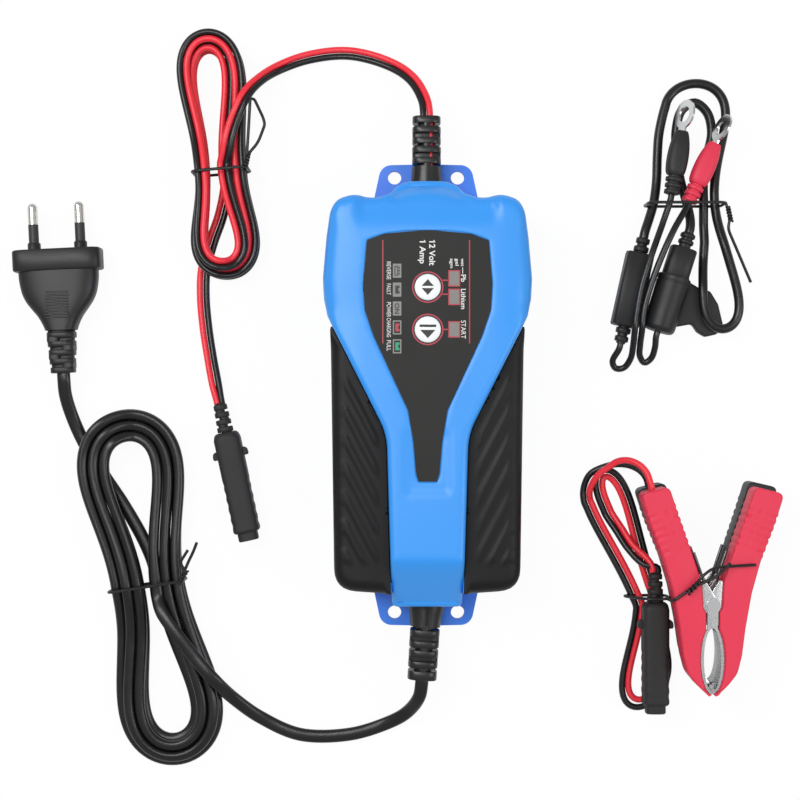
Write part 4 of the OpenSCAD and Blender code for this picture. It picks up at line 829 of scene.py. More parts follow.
def strain_relief(name, node, y_sign, lean, wide, neck_l, bands, lobes):
    """A flared neck, then blocks with a slot through each and a notch on both sides between them."""
    sides, rows = 64, [-9.4, *np.linspace(-1.2, neck_l, 15)]
    verts = []
    for y in rows:
        narrow = ease(y / neck_l)
        for k in range(sides):
            a = 2 * math.pi * k / sides
            r = wide / 2 + 0.1 + (1.1 if lobes else 0.5) * (1 - narrow) * math.cos(a) ** 2
            if lobes and y > -1:
                r -= 1.3 * math.exp(-(math.cos(a) / 0.2) ** 2) * ease((y + 1) / 3)
            verts.append((r * math.cos(a), y, r * math.sin(a)))
    parts, before = [(verts, tube(len(rows), sides))], neck_l
    for i, (start, end) in enumerate(bands):
        w = wide - 0.12 * i
        tall = w - 0.8
        disc = (end - start - SLOT) / 2
        if disc > 1.5:
            parts += [bar(block(start, start + disc, w, tall), 48), bar(block(end - disc, end, w, tall), 48),
                      bar([(y, w - 0.1, tall - 5.4, 3.4) for y in (start + disc - 0.6, end - disc + 0.6)])]
        else:
            parts.append(bar(block(start, end, w, tall), 48))
        parts += [bar([(y, w, h, n) for y in (before - 0.9, start + 0.9)])
                  for w, h, n in ((3.4, tall - 0.3, 4), (7, 5.4, 2.4))]
        before = end
    verts, faces = joined(*parts)
    collar = bar([(y, COLLAR, COLLAR, 2) for y in (-6.1, -8.4)], 48)
    verts, faces = joined((laid(verts, (0, 0, 0), lean), faces), collar)
    verts = np.array(verts) * [y_sign, y_sign, 1] + [0, y_sign * HOUSING_END, RELIEF_Z]
    return piece(name, verts, faces, relief_black, "plug_black", replaced=(node,))


output_relief = strain_relief("output_relief", "output_strain_relief", 1, 0, 11.4, 7.7,
                              [(8.6, 15.5), (16.5, 23.4), (24.6, 27.5)], False)
mains_relief = strain_relief("mains_relief", "mains_strain_relief", -1, -RELIEF_LEAN, 11.8, 9.1,
                             [(10.2, 17.2), (18.2, 25.2), (26.4, 30)], True)
red_core = bar([(HOUSING_END + y, 1.5, 1.7, 2, 1.7) for y in (8, 27)], 16)
placed("red_wire_in_relief", (0, 0, RELIEF_Z + 1.95), 0, [red_core], wire_red, "wire_red")

# ------------------------------------------------------------------ ring terminals and boots
# Tinned rings crimped on the two thin wires. Over each crimp sits a soft tapered boot, black
# for minus and red for plus, with three bands where the wire comes out.

boot_black = moulded("boot_black", linear(34, 34, 34), 0.5, 1.5, 0.02, sheen=0.35)
boot_red = moulded("boot_red", linear(226, 52, 80), 0.5, 1.5, 0.02, sheen=0.35)
for name, at, lean, skin, node in (
    ("black_boot", BLACK_BOOT_AT, BLACK_BOOT_LEAN, boot_black, ("eyelet_boots",)),
    ("red_boot", RED_BOOT_AT, RED_BOOT_LEAN, boot_red, ()),
):
    stations = [(0.2, 3.4, 3.4, 2.2)]
    for i in range(3):
        start = -0.2 - i * 2.5
        stations += band(start, start - 1.7, 6.2 + 0.25 * i, 6 + 0.2 * i, 2.6, 0.3)
        stations += [(start - 1.72, 4.8, 4.6, 2.4), (start - 2.48, 4.8, 4.6, 2.4)]
    body = flowing([(-7.8, 6.4, 6), (-9, 7.6, 6.9), (-12, 8.4, 7.4), (-16, 8.5, 7.4), (-19.5, 7.9, 7),
                    (-22.5, 6.8, 6), (-25, 5.3, 4.8), (-25.6, 4.6, 4.2)], 0.6)
    stations += [(*station, 2.8) for station in body]
    placed(name, at, lean, [bar(stations)], skin, "plug_black" if node else "clamp_red", replaced=node)

dress(bright_metal("tin", linear(214, 215, 216), 0.2), "eyelet_terminals")

# ------------------------------------------------------------------ ties
# Wire ties in black plastic that hold each hank. Their ends are twisted together into a small
# knot and stick out, one of them long.

TIE_STEP = 0.5


def bent(points, radius):
    """A wire's line through points with rounded bends."""
    points = [np.array(p, float) for p in points]
    line = [points[0]]
    for back, here, on in zip(points, points[1:], points[2:]):
        a, b = back - here, on - here
        cut = min(radius, np.linalg.norm(a) * 0.48, np.linalg.norm(b) * 0.48)
        line += corner(here + a / np.linalg.norm(a) * cut, here, here + b / np.linalg.norm(b) * cut, 7)
    return evenly(np.array([*line, points[-1]]), TIE_STEP, 2)


def round_wire(line, thick, sides=10):
    """A round wire along any line, closed at its ends."""
    ahead = directions(line)
    side = np.cross(ahead[0], [0.3, 0.2, 1])
    verts = []
    for here, on in zip(line, ahead):
        side = side - on * np.dot(side, on)
        side /= np.linalg.norm(side)
        up = np.cross(on, side)
        verts += [tuple(here + (side * math.cos(a) + up * math.sin(a)) * thick / 2)
                  for a in np.arange(sides) * 2 * math.pi / sides]
    return verts, tube(len(line), sides)


def turn_of_tie(at, lean, left, right, height):
    """A closed turn round a bundle, left and right of a point and up to a height."""
    low = TIE / 2
    corners = [(0, 0, low), (right - 1.5, 0, low), (right, 0, low + 1.5), (right, 0, height - 2),
               (right - 2, 0, height), (-left + 2, 0, height), (-left, 0, height - 2),
               (-left, 0, low + 1.5), (-left + 1.5, 0, low), (0, 0, low), (0.6, 0, low)]
    return round_wire(laid(bent(corners, 3.2), (at[0], at[1], 0), lean), TIE)


def knot(at, lean, size=1.5, turns=2.5):
    """Two ends of the tie twisted round each other."""
    parts = []
    for phase in (0, math.pi):
        t = np.linspace(0, 1, 40)
        a = 2 * math.pi * turns * t + phase
        local = np.stack([np.cos(a) * size * 0.42, (t - 0.5) * size * 4, np.sin(a) * size * 0.42], axis=1)
        parts.append(round_wire(laid(local, at, lean), TIE * 0.8, 8))
    return joined(*parts)


def strand_of_tie(radius, *points):
    return round_wire(bent(points, radius), TIE)


tie_black = moulded("tie_black", linear(24, 24, 24), 0.4, 1.5, 0.02, sheen=0.4)
ties = []
for name, parts in (
    ("mains_tie", [
        turn_of_tie((-110.5, -76), 9, 16.2, 13.9, 13.9), knot((-96.6, -72.2, 13.6), -30),
        strand_of_tie(1.5, (-97, -73.9, 13.4), (-95.5, -70, 13.8), (-97.8, -66.5, 13.4), (-94.6, -61.5, 13.6)),
        strand_of_tie(1.5, (-96.4, -71, 13.8), (-94.4, -66.2, 14), (-92.4, -62.2, 14.3), (-90.9, -58.4, 15))]),
    ("output_tie", [
        turn_of_tie((-83.4, 89.2), 4.8, 9.5, 12.4, 17), knot((-70.8, 93.4, 16.2), -12),
        strand_of_tie(2.6, (-71.2, 90, 15.9), (-70.6, 95, 16.4), (-66.6, 99.5, 16.2), (-63.9, 107, 15.4),
                      (-64.6, 109.6, 15.4), (-68, 116.8, 16.4), (-69.6, 117, 16.8), (-70.2, 106, 16.8),
                      (-70.9, 95, 16.8))]),
    ("eyelet_tie", [
        turn_of_tie((106, 76.3), 0, 17.8, 13, 14.8), knot((120.2, 71.6, 13.4), 12),
        strand_of_tie(2, (118.8, 76.3, 12.8), (120.6, 71, 13.4), (119.6, 66, 13.2), (124, 57, 11), (129.6, 45, 9))]),
    ("clamp_tie", [
        strand_of_tie(2.4, (80.2, -81, 4), (80.2, -81, 2.4), (81.7, -81, 0.6), (95.8, -81, 0.6), (97, -81, 2.4),
                      (97, -81, 11.6), (95.4, -80.8, 13.6), (95.2, -80.2, 24.6), (96.6, -79.6, 26.3), (104.3, -74, 26.6)),
        strand_of_tie(2.4, (80.2, -81, 2.4), (80.2, -81, 4.4), (87.4, -81, 13), (94, -81, 13), (95.4, -80.8, 13.6)),
        knot((103.6, -74.6, 27.2), -46, 1.7, 2),
        strand_of_tie(3, (104.3, -74, 26.9), (106.5, -70.5, 27.7), (111, -67, 27.8), (116, -66.6, 27.5),
                      (127.6, -66, 27)),
        strand_of_tie(3, (104.3, -74, 26.9), (107.4, -72.8, 28), (113, -69.8, 28.7), (117.5, -65.2, 28.3))]),
):
    verts, faces = joined(*parts)
    ties.append(piece(name, verts, faces, tie_black, "flex_black", replaced=() if ties else ("lead_ties",)))
# ------------------------------------------------------------------ clamps
# Two spring clamps, red over black. Each half is a steel jaw in a soft PVC grip with ribs for
# the fingers; a rivet holds the halves together and a coil spring round it keeps them shut.

MOUTH, MOUTH_Y, JAW_WALL = (3.5, 12.3), -21.5, 1.2
HANDLE, RIBS_FROM, RIBS_L, RIB_PITCH = np.array([0.34, 0.94]), 22.6, 20.4, 2.91


def on_handle(points):
    """How far points lie along the ribbed part of the handle and to its side, and 1 on that part."""
    u = points @ HANDLE - RIBS_FROM
    v = points @ (HANDLE[::-1] * [1, -1]) - 9.2
    return u, v, ease(u / 1.5) * ease((RIBS_L - u) / 1.5)


def grip_side():
    """The right half's grip seen from above: handle over the rivet, nose below it."""
    outer = [(1.3, -36.0), (6, -31.5), (9.6, -27), (11.4, -20), (12.8, -9), (15.2, 4.5), (19, 17.8),
             (23.7, 30), (25.4, 35), (28, 43.2), (16.8, 46)]
    inner = [(13.9, 37), (9, 23), (4.3, 9.3), (3.9, 2), (3.77, -1), (3.3, -2.1), (2.55, -3), (2.55, -9.9)]
    a, wall = np.radians(np.arange(58, -58, -5)), JAW_WALL + 0.05
    nose = [*zip((MOUTH[0] + wall) * np.cos(a), MOUTH_Y + (MOUTH[1] + wall) * np.sin(a)), (1.9, -34.3), (0.35, -35.1)]
    radius = [0.5, 6, 8, 12, 20, 20, 20, 20, 12, 2.6, 2.6] + [8, 8, 6, 4, 0, 0, 0.6, 0.6] + [0] * len(nose)
    line = rounded(outer + inner + nose, radius, 0.55)
    u, v, zone = on_handle(line)
    scallop = np.abs(np.sin(math.pi * u / RIB_PITCH)) ** 0.7 - 0.55
    side = np.where(np.abs(v) > 2.2, np.sign(v), 0)
    return line + (0.5 * zone * scallop)[:, None] * outward(line) * np.abs(side)[:, None]


def ribbed_top(high):
    """The grip's upper face: a low ridge along the handle, and a groove between its ribs."""
    def height(points):
        u, v, zone = on_handle(points)
        slot = (1 - np.abs(np.sin(math.pi * u / RIB_PITCH))) ** 3
        handle = ease((points[:, 1] - 4) / 12)
        return high - 0.45 * zone * slot - 0.09 * handle * np.abs(v + 1) - 0.03 * np.abs(v + 1)
    return height


CLAMP_GRIP, GRIP_EDGE = grip_side(), 0.9
grip_finishes = {colour: moulded("clamp_" + colour, linear(*shade), 0.5, 1.3, 0.02, sheen=0.35)
                 for colour, shade in (("red", (228, 52, 80)), ("black", (34, 34, 35)))}


def grip_mesh(mirrored):
    """A grip as it stands, for the right half or mirrored for the left."""
    outline = CLAMP_GRIP * [-1, 1] if mirrored else CLAMP_GRIP
    top = ribbed_top(CLAMP_T)
    flipped = (lambda p: top(p * [-1, 1])) if mirrored else top
    verts, faces = slab(outline, 0, GRIP_EDGE, flipped, grid=0.9, closed=False, lower_soft=GRIP_EDGE)
    count, start = len(outline), len(verts)
    points, base = filled(outline - outward(outline) * GRIP_EDGE, grid=3)
    verts += [(x, y, 0.0) for x, y in points]
    faces += [tuple(start + k for k in face) for face in base]
    faces += [(k, (k + 1) % count, start + (k + 1) % count, start + k) for k in range(count)]
    return verts, faces


def coil_and_legs():
    """A coil round the rivet, and the leg that lies along each handle: coil, left leg, right leg."""
    t = np.linspace(0, 1, 130)
    a = 2 * math.pi * 4.25 * t + math.radians(18)
    coil = np.stack([2.75 * np.cos(a), 2.75 * np.sin(a), 2.7 + 7.2 * t], axis=1)
    made = [round_wire(coil, 1.1, 10)]
    for end, side in ((coil[-1], -1), (coil[0], 1)):
        leg = [end, end + [side * 0.5, 2.0, 0], [side * 3.4, 9.6, end[2]], [side * 7.1, 20.2, end[2]]]
        made.append(round_wire(bent(leg, 1.5), 1.1, 10))
    return made


# The cheek is the jaw's side plate where it widens above the rivet, 1 mm sheet with a soft edge.
CHEEK = rounded([(-1.9, -2.6), (2.6, -3.4), (3.75, -1.2), (4.25, 9.2), (2.9, 9.5), (-0.4, 4.4), (-2.5, 0.4)],
                1.0, 0.5)
CHEEK_T = 0.9
jaw_steel = bright_metal("jaw_steel", linear(206, 207, 208), 0.24)
rivet_steel = bright_metal("rivet_steel", linear(188, 189, 191), 0.3)
spring_steel = bright_metal("spring_steel", linear(96, 96, 98), 0.34)
for colour, at, lean in (("red", RED_CLAMP_AT, 0), ("black", BLACK_CLAMP_AT, BLACK_CLAMP_LEAN)):
    coil, left_leg, right_leg = coil_and_legs()
    for half, body, side, level_, wires in (
        ("fixed", "charger", -1, 0.65, (coil, left_leg)), ("moving", colour + "_clamp_half", 1, 1.75, (right_leg,)),
    ):
        placed(f"{colour}_{half}_grip", at, lean, [grip_mesh(side < 0)], grip_finishes[colour],
               "clamp_" + colour, body, (f"{colour}_clamp_{half}_grip",), 28)
        dress(jaw_steel, f"{colour}_clamp_{half}_jaw")
        cheeks = [slab(CHEEK * [side, 1], low, 0.2, low + CHEEK_T, grid=4)
                  for low in (level_, CLAMP_T - level_ - CHEEK_T)]
        placed(f"{colour}_{half}_cheeks", at, lean, cheeks, jaw_steel, "nickel", body)
        placed(f"{colour}_{half}_spring", at, lean, wires, spring_steel, "spring_steel", body,
               (f"{colour}_clamp_spring",) if side < 0 else ())
    dress(rivet_steel, f"{colour}_clamp_rivet")

# ------------------------------------------------------------------ top shell
# Glossy blue ABS moulding over a darker blue base: a wide head, a yoke that narrows to a spine
# over the black side panels, and a hood over each strain relief. Four screws from below hold it.

HEAD_TOP, SEAM, PANEL_TOP, LABEL_TOP, LABEL_FLOOR = 43.25, 14, 37, 43, 42.45
MODE_Y, START_Y, BUTTON = 40.7, 24.7, 10
WINDOW_X, WINDOW_YS, WINDOW = 10, (44, 37, 24.7), (4.4, 5.8)
STATUS_PITCH = 7.15
STATUS_X, STATUS_YS, STATUS = -11.6, [46.9 - STATUS_PITCH * i for i in range(5)], (3, 5.1)


def both_sides(right):
    """A right half's points, from the head to the tail, and their mirror images."""
    return right + [(-x, y) for x, y in right[::-1]]


def circle(x, y, r, count=40):
    a = np.arange(count) * 2 * math.pi / count
    return np.stack([x + r * np.cos(a), y + r * np.sin(a)], axis=1)


def oblong(x, y, w, h):
    return np.array([(x - w / 2, y - h / 2), (x + w / 2, y - h / 2), (x + w / 2, y + h / 2), (x - w / 2, y + h / 2)])


def shell_top(points):
    """Height of the top shell's skin: flat head and spine, sunk between the two shoulders."""
    x, y = np.abs(points[:, 0]), points[:, 1]
    z = np.full(len(points), HEAD_TOP)
    z -= 0.0055 * np.clip(x - 25, 0, None) ** 2
    valley = ease((28.5 - x) / 4.5)
    z -= valley * 2.6 * ease((y - 62.3) / 13)
    z -= (0.155 * np.clip(y - 73.5, 0, None) ** 2 + 0.022 * x ** 2 * ease((y - 73) / 5)) * ease((18 - x) / 5)
    z -= 0.5 * ease((9.2 - x) / 1.6) * ease((y + 38.5) / 2.2) * ease((-11 - y) / 6)
    fall = np.clip(-62.5 - y, 0, None)
    return z - np.clip(fall * 0.96 - 1.6 * (1 - np.exp(-fall / 2.2)), 0, None)


shell_outline = rounded(both_sides([
    (7, 82.4), (12, 80.2), (14.6, 76.4), (21.5, 75), (28, 76.6), (34.5, 74.5), (37, 70.5), (38.6, 60.5),
    (40, 44.5), (39.6, 36.5), (38.2, 30), (15.5, -15), (13.5, -82.4)]),
    [8, 6, 6, 16, 14, 8, 12, 14, 14, 6, 5, 26, 2.2, 2.2, 26, 5, 6, 14, 14, 12, 8, 14, 16, 6, 6, 8], 0.8)
fascia_hole = rounded(both_sides([
    (6, 62.1), (16.5, 61), (23.1, 58.5), (24.5, 42), (23.9, 32), (20.5, 22), (7.5, -6), (5.5, -18), (4.5, -30),
    (3.5, -33)]), [9, 26, 1.4, 12, 12, 14, 14, 8, 3, 0.8, 0.8, 3, 8, 14, 14, 12, 12, 1.4, 26, 9], 0.5)
shell_blue = moulded("shell_blue", linear(46, 150, 240), 0.4, 1.1, 0.01, 0.08)
x, y = shell_outline.T
soft = (2.1 + 4.3 * ease((y - 24) / 12) - 2.0 * ease((y - 60) / 9)
        - 2.2 * ease((y - 74) / 2) * ease((19 - np.abs(x)) / 4))
foot = np.where((y > 29.5) | (y < -76.4), SEAM, PANEL_TOP - 1.8)
out_of_hole = outward(fascia_hole)
lip = fascia_hole + out_of_hole * 0.75
verts, faces = slab(shell_outline, foot, soft, shell_top, [lip], 1.5, closed=False)

# The lip rounds down to the floor of the label's recess, which has holes for lights and buttons.
count = len(lip)
ids = list(range(EDGE_ROWS * len(shell_outline), EDGE_ROWS * len(shell_outline) + count))
for out, drop in ((0.4, 0.06), (0.14, 0.28), (0.1, None)):
    ring, start = fascia_hole + out_of_hole * out, len(verts)
    verts += raised(ring, shell_top(ring) - drop if drop else [LABEL_FLOOR] * count)
    faces += [(ids[k], ids[(k + 1) % count], start + (k + 1) % count, start + k) for k in range(count)]
    ids = list(range(start, start + count))
holes = [circle(0, cy, BUTTON / 2 + 0.15) for cy in (MODE_Y, START_Y)]
holes += [oblong(WINDOW_X, cy, WINDOW[0] + 0.1, WINDOW[1] + 0.1) for cy in WINDOW_YS]
holes += [oblong(STATUS_X, cy, STATUS[0] + 0.1, STATUS[1] + 0.1) for cy in STATUS_YS]
points, skin = filled(ring, holes, 4)
faces += [tuple(start + k for k in face) for face in skin]
verts += [(px, py, LABEL_FLOOR) for px, py in points[count:]]
top_skin = piece("top_shell_skin", verts, faces, shell_blue, "top_blue", replaced=("top_shell",), sharp=32)


def walled(made, wall):
    """Gives a skin its wall, inwards."""
    thick = made.modifiers.new("wall", "SOLIDIFY")
    thick.thickness, thick.offset = wall * MM, -1


walled(top_skin, 1.9)
inner_walls = rounded(both_sides([(34, 40), (35.5, 27), (34, -73.2), (16.8, -74.4), (14.2, -69)]),
                      [1, 1, 6, 2, 1, 1, 2, 6, 1, 1], 1.2)
verts, faces = slab(inner_walls, SEAM, 1.2, PANEL_TOP - 1.85, grid=6, closed=False)
walled(piece("top_shell_walls", verts, faces, shell_blue, "top_blue"), 1.8)

# ------------------------------------------------------------------ side panels
# A soft black panel clipped over each flank of the top shell, with a fine spark grain and
# seven low slanting ribs that give the hand a hold.

PANEL_RIBS, RIB_RISE = 11, 1.9
panel_black = moulded("panel_black", linear(18, 18, 19), 0.46, 2.6, 0.025, sheen=0.22)


def panel_top(points):
    x, y = np.abs(points[:, 0]), points[:, 1]
    across = (y - RIB_RISE * (x - 26)) / PANEL_RIBS
    near = np.abs(across - np.floor(across) - 0.5) * 2
    rib = ease((0.62 - near) / 0.34)
    zone = ease((x - 18.4) / 2) * ease((32.6 - x) / 2.2) * ease((y + 66) / 4) * ease((5 - y - 1.2 * (26 - x)) / 5)
    return PANEL_TOP - 0.4 + 0.4 * rib * zone - 0.0022 * (x - 22) ** 2


for name, side in (("left_side_panel", -1), ("right_side_panel", 1)):
    outline = rounded([(side * px, py) for px, py in (
        (37.3, 27.9), (35.8, -75.2), (15.4, -76.6), (13.9, -76.5), (15.7, -15))], [0.8, 9, 3, 0.3, 26], 0.8)
    outer = np.abs(outline[:, 0]) - np.interp(outline[:, 1], [-76.5, -15, 30], [13.68, 15.5, 38.2])
    soft = 0.4 + 4.4 * ease((outer - 0.6) / 3) * ease((25 - outline[:, 1]) / 9)
    verts, faces = slab(outline, SEAM, soft, panel_top, grid=0.75, closed=False)
    walled(piece(name + "_skin", verts, faces, panel_black, "panel_black", replaced=(name,), sharp=30), 1.5)

# ------------------------------------------------------------------ base, gasket and screws
# The base is moulded in a deeper blue with a tab at each end for two wall screws. A grey cord
# gasket runs in the seam, and zinc-plated self-tapping screws pull the halves together.

dress(moulded("base_blue", linear(42, 122, 232), 0.42, 1.4, 0.015, 0.1), "bottom_shell")
dress(moulded("gasket_grey", linear(88, 90, 94), 0.7, 2.4, 0.02), "housing_gasket")
dress(bright_metal("screw_zinc", linear(188, 190, 188), 0.34), "self_tapping_screws")

# ------------------------------------------------------------------ label
# A dark grey polyester foil with a fine satin grain, let into the head and printed in five inks:
# red lines round the buttons and windows, grey ones round the lights, and words in white.

dress(moulded("label_foil", linear(30, 30, 29), 0.46, 5.0, 0.006, sheen=0.25), "fascia_label")


def ink(name, colour):
    """Screen-print ink, a little uneven where it is thin."""
    skin = Finish(name)
    fine, broad = skin.speckle(6.0, 2.0), skin.speckle(0.3, 2.0)
    skin.set(roughness=fine * 0.2 + 0.38)
    skin.tint(colour, tuple(c * 0.82 for c in colour), broad * 0.5)
    skin.bump(fine, 0.004)
    return skin


def frame_of(x, y, w, h, line):
    """Four bars round an oblong, each w by h outside."""
    w, h = w / 2, h / 2
    bars = ((-w, w, h - line, h), (-w, w, -h, line - h), (-w, line - w, line - h, h - line),
            (w - line, w, line - h, h - line))
    return [oblong(x + (a + b) / 2, y + (c + d) / 2, b - a, d - c) for a, b, c, d in bars]


def ring_of(x, y, inner, outer):
    a, b = circle(x, y, inner, 72), circle(x, y, outer, 72)
    return [np.array([a[k - 72], a[k - 71], b[k - 71], b[k - 72]]) for k in range(72)]


CAPITAL = 0.73


def lettering(text, x, start, end, height, weight=0.0):
    """A word that reads towards the tail, its letters' tops to the right."""
    type_ = bpy.data.curves.new("type", "FONT")
    type_.body, type_.offset = text, weight
    block = bpy.data.objects.new("type", type_)
    studio.collection.objects.link(block)
    mesh = bpy.data.meshes.new_from_object(block.evaluated_get(bpy.context.evaluated_depsgraph_get()))
    spots = np.array([v.co[:2] for v in mesh.vertices])
    shapes = [spots[list(p.vertices)] for p in mesh.polygons]
    bpy.data.objects.remove(block)
    low, wide = spots[:, 0].min(), np.ptp(spots[:, 0])
    return [np.stack([x + s[:, 1] / CAPITAL * height, start - (s[:, 0] - low) / wide * (start - end)], axis=1)
            for s in shapes]


def printed(name, shapes, finish, slot, z=LABEL_TOP + 0.02, body="charger"):
    """Flat shapes in one ink, all facing up."""
    verts, faces = joined(*[([(px, py, z) for px, py in shape], [tuple(range(len(shape)))]) for shape in shapes])
    made = piece(name, verts, faces, finish, slot, body)
    flat = bmesh.new()
    flat.from_mesh(made.data)
    for face in flat.faces:
        if face.normal.z < 0:
            face.normal_flip()
    flat.to_mesh(made.data)
    flat.free()
    return made


red_ink, white_ink, grey_ink, green_ink, dark_ink = (ink(name + "_ink", linear(*shade)) for name, shade in (
    ("red", (180, 56, 70)), ("white", (232, 232, 230)), ("grey", (138, 138, 135)), ("green", (38, 158, 118)),
    ("dark", (38, 38, 38))))
red_lines = [oblong(-17, 38.95, 0.42, 39.1), oblong(15.8, 38.95, 0.42, 39.1)]
for cy in (MODE_Y, START_Y):
    red_lines += ring_of(0, cy, 5.45, 5.95)
for cy, start in ((43.3, 5.2), (38, 5.2), (24.7, 5.9)):
    red_lines.append(oblong((start + 7.9) / 2, cy, 7.9 - start, 0.45))
for cy in WINDOW_YS:
    red_lines += frame_of(WINDOW_X, cy, 4.5, 6.2, 0.46)
cy = STATUS_YS[3]
glyph = [oblong(STATUS_X - 0.1, cy, 1.1, 3), oblong(STATUS_X + 0.7, cy + 1.05, 0.5, 0.8),
         oblong(STATUS_X + 0.7, cy - 1.05, 0.5, 0.8)]
printed("red_print", red_lines + glyph, red_ink, "clamp_red")
printed("green_print", [s - [0, STATUS_PITCH] for s in glyph], green_ink, "board_green")
white = [np.array([(x, 57.9), (x - 0.45, 58.5), (x - 0.8, 58.5), (x - 0.4, 57.9)]) for x in (2.87, -0.73)]
white.append(oblong(13.2, 47, 0.24, 2.4))
for word in (
    ("12 Volt", 0.6, 58.05, 48.9, 2.3, 0.02), ("1 Amp", -3, 58.05, 49.6, 2.3, 0.02),
    ("Pb", 12.6, 45.4, 42.7, 1.9, 0.012), ("Lithium", 12.6, 40, 32.4, 1.9, 0.012),
    ("wet", 12.6, 51.5, 48.6, 1.3, 0.012), ("gel", 10.5, 51.5, 48.8, 1.3, 0.012),
    ("agm", 8.5, 51.5, 47.9, 1.3, 0.012), ("START", 12.6, 28.1, 21.2, 1.9),
    ("REVERSE", -15.5, 50.3, 43.6, 1.65), ("FAULT", -15.5, 42, 37.8, 1.65), ("POWER", -15.5, 35, 29.4, 1.65),
    ("CHARGING", -15.5, 29.0, 21.8, 1.65), ("FULL", -15.5, 20.6, 16.6, 1.65),
):
    white += lettering(*word)
printed("white_print", white, white_ink, "button_white")
grey = [bar_ for cy in STATUS_YS for bar_ in frame_of(STATUS_X, cy, 3.2, 5.3, 0.44)]
printed("grey_print", grey, grey_ink, "label_grey")
dark = lettering("ON", STATUS_X - 0.85, STATUS_YS[2] + 2.0, STATUS_YS[2] - 2.0, 1.7, 0.02)
dark += [s + [0, 2 * STATUS_PITCH] for s in glyph] + frame_of(STATUS_X - 0.3, STATUS_YS[0], 1.4, 3.6, 0.3)
dark += [oblong(STATUS_X + 0.8, STATUS_YS[0] + y, 0.6, 0.5) for y in (-1.1, 0, 1.1)]
printed("dark_print", dark, dark_ink, "part_black")

# ------------------------------------------------------------------ lights
# Lenses of plastic with a satin face, let in flush with the label: pale ones over the programmes
# and the first three states, smoked ones over the last two.

lens = Finish("lens", roughness=0.5, specular_ior_level=0.25)
pale = lens.between(lens.place(0), -MM, MM) + lens.between(lens.place(1), 28.6 * MM, 29.4 * MM)
pale = lens.between(pale, 0, 1)
cloud, dots = lens.speckle(0.5, 2.0), lens.speckle(3.0, 2.0)
lens.tint(linear(34, 34, 33), linear(136, 133, 131), pale * 0.9 + cloud * 0.1)
lens.bump(dots, 0.003)
dress(lens, "light_lenses")

# ------------------------------------------------------------------ buttons
# Two white keys with a low crown, held under the shell by a flange, with their signs printed
# in black: one steps through the programmes, the other starts the charge.

TURNED = 64
key_white = moulded("key_white", linear(236, 238, 240), 0.36, 1.8, 0.006, 0.2)
profile = [(0, 39.1), (5.9, 39.1), (6.2, 39.3), (6.2, 40.0), (6.0, 40.2), (5.05, 40.25), (5, 40.5), (5, 43.0),
           (4.9, 43.25), (4.65, 43.42), (4.2, 43.5), (3, 43.56), (1.5, 43.59), (0, 43.6)]
for name, cy, body, signs in (
    ("mode_button", MODE_Y, "mode_key", [
        np.array([(-2.3, 0.4), (2.3, 0.4), (0, 3.0)]), np.array([(-2.3, -0.4), (0, -3.0), (2.3, -0.4)])]),
    ("start_button", START_Y, "start_key", [
        oblong(0, 1.35, 6.3, 0.95), np.array([(-2.9, -0.2), (0, -3.3), (2.9, -0.2)])]),
):
    verts = [(x, y, z) for r, z in profile[1:-1] for x, y in circle(0, cy, r, TURNED)]
    faces = tube(len(profile) - 2, TURNED, False)
    foot_id, crown, first = len(verts), len(verts) + 1, len(verts) - TURNED
    verts += [(0, cy, profile[0][1]), (0, cy, profile[-1][1])]
    faces += [(foot_id, (k + 1) % TURNED, k) for k in range(TURNED)]
    faces += [(crown, first + k, first + (k + 1) % TURNED) for k in range(TURNED)]
    piece(name + "_key", verts, faces, key_white, "button_white", body, (name,))
    printed(name + "_sign", [s + [0, cy] for s in signs], dark_ink, "part_black", 43.62, body)

# ------------------------------------------------------------------ boards
# Two boards of green glass laminate, tracks showing through the solder mask, and the flat
# link of tinned wires between them.


def laminate(name, colour, track):
    """Solder mask over copper: straight tracks a shade lighter, a weave below, tinned vias."""
    skin = Finish(name, roughness=0.32, coat_weight=0.35)
    where = skin.node("TexCoord", out="Object")
    tracks = skin.node("TexBrick", {"offset": 0.37, "squash": 1.0}, {
        "Vector": where, "Color1": (0, 0, 0), "Color2": (0, 0, 0), "Mortar": (1, 1, 1), "Scale": 330.0,
        "Mortar Size": 0.06, "Mortar Smooth": 0.1, "Brick Width": 1.7, "Row Height": 0.55}, out="Fac")
    weave, cloud = skin.speckle(3.0, 2.0), skin.speckle(0.1, 2.0)
    skin.tint(colour, track, tracks * 0.6 + cloud * 0.3)
    skin.bump(tracks * 0.7 + weave * 0.3, 0.035)
    return skin


dress(laminate("main_laminate", linear(28, 92, 52), linear(78, 138, 88)), "main_board")
dress(laminate("control_laminate", linear(24, 84, 48), linear(70, 128, 82)), "control_board")
dress(bright_metal("tinned_link", linear(182, 182, 180), 0.3, (4, 1, 1)), "board_link")

# ------------------------------------------------------------------ transformer and choke
# A ferrite core clamped round a winding taped in yellow, and a filter choke of bare enamelled
# copper on a ferrite ring.


def wrapped(name, colour, other, per_mm, gloss, metallic=0.0):
    """Wire or tape in close turns: fine lines across in the bump, and the colour painted darker in a band along each
    turn, a painted shade between the turns, over random clouds of tone.
    """
    skin = Finish(name, metallic=metallic)
    turns = skin.node("TexWave", {"wave_type": "BANDS", "bands_direction": "Z"}, {
        "Vector": skin.node("TexCoord", out="Object"), "Scale": per_mm / MM / 3.1, "Distortion": 0.4, "Detail": 1.0},
        out="Fac")
    cloud = skin.speckle(0.2, 2.0)
    skin.set(roughness=cloud * 0.2 + gloss)
    # The bands turn the colour to the darker one: painted shade between the turns; the cloud mixed in is random tone.
    skin.tint(colour, other, turns * 0.6 + cloud * 0.3)
    skin.bump(turns, 0.06)
    return skin


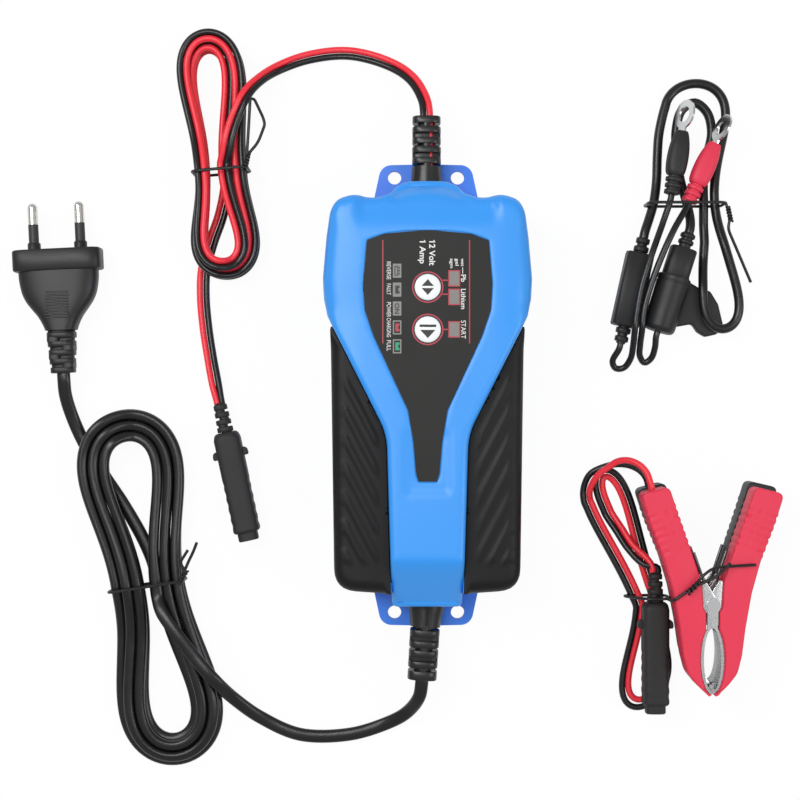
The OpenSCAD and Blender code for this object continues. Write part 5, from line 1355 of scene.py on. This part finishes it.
dress(moulded("ferrite", linear(66, 66, 68), 0.62, 1.2, 0.06), "transformer_core")
# The second colour of each winding is the painted shade between its turns.
dress(wrapped("winding_tape", linear(214, 178, 62), linear(176, 140, 40), 0.25, 0.3), "transformer_winding")
dress(wrapped("enamelled_copper", linear(196, 108, 62), linear(130, 64, 34), 0.8, 0.22, 0.9), "filter_choke")

# ------------------------------------------------------------------ capacitors, sink and chips
# Aluminium cans in printed sleeves, a black anodised heat sink with the power transistors
# screwed to it, a bridge rectifier, a fuse, the controllers, lights and switches.


def sleeved(name, node, sleeve, bare_mm):
    """A shrink sleeve that leaves the can's top bare."""
    skin = Finish(name)
    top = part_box(node)[1][2]
    bare = skin.between(skin.place(2), top - bare_mm * MM, top - (bare_mm - 0.2) * MM)
    fine, cloud = skin.speckle(2.0, 2.0), skin.speckle(0.15, 2.0)
    skin.set(metallic=bare, roughness=cloud * 0.2 + 0.22)
    skin.tint(sleeve, linear(196, 198, 200), bare)
    skin.bump(fine, 0.01)
    dress(skin, node)


sleeved("mains_sleeve", "mains_capacitor", linear(24, 26, 30), 1.2)
sleeved("output_sleeve", "output_capacitors", linear(34, 58, 120), 0.9)
dress(bright_metal("anodised_black", linear(52, 54, 58), 0.42, (1, 1, 6)), "heat_sink")
for name, shade, gloss, grain, depth, dressed in (
    ("epoxy_black", (28, 28, 29), 0.46, 1.8, 0.03, ("power_transistors", "bridge_rectifier", "controller_chips")),
    ("fuse_ceramic", (206, 200, 186), 0.4, 1.4, 0.03, ("board_fuse",)),
    ("switch_black", (36, 36, 37), 0.4, 1.6, 0.02, ("switch_bodies",)),
    ("plunger_black", (44, 40, 38), 0.34, 1.6, 0.02, ("mode_switch_plunger", "start_switch_plunger")),
):
    dress(moulded(name, linear(*shade), gloss, grain, depth), *dressed)
diode = Finish("diode_lens", roughness=0.15, coat_weight=0.6)
cloud, fine = diode.speckle(0.6, 2.0), diode.speckle(3.0, 2.0)
diode.tint(linear(222, 216, 196), linear(178, 170, 140), cloud)
diode.bump(fine, 0.01)
dress(diode, "indicator_leds")

# ------------------------------------------------------------------ cord lengths
# Each lead's run along its line, printed beside the length given for it.


def declare(cord, line, length):
    """Prints how far a lead's line runs beside the length given for it; its line starts where the lead comes out of
    what holds it.
    """
    run = float(np.sum(np.linalg.norm(np.diff(line, axis=0), axis=1)))
    print(cord.name, "runs", round(run), "mm, declared", round(length * 1000))


declare(mains_flex, mains_line, 1.75)
for line, wire in output_wires:
    declare(wire, line, 1.0)
for line, wire in clamp_wires:
    declare(wire, line, 0.3)
declare(eyelet_flex, jacket_line, 0.34)
declare(eyelet_left_wire, left_line, 0.1)
declare(eyelet_right_wire, right_line, 0.09)

low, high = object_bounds()
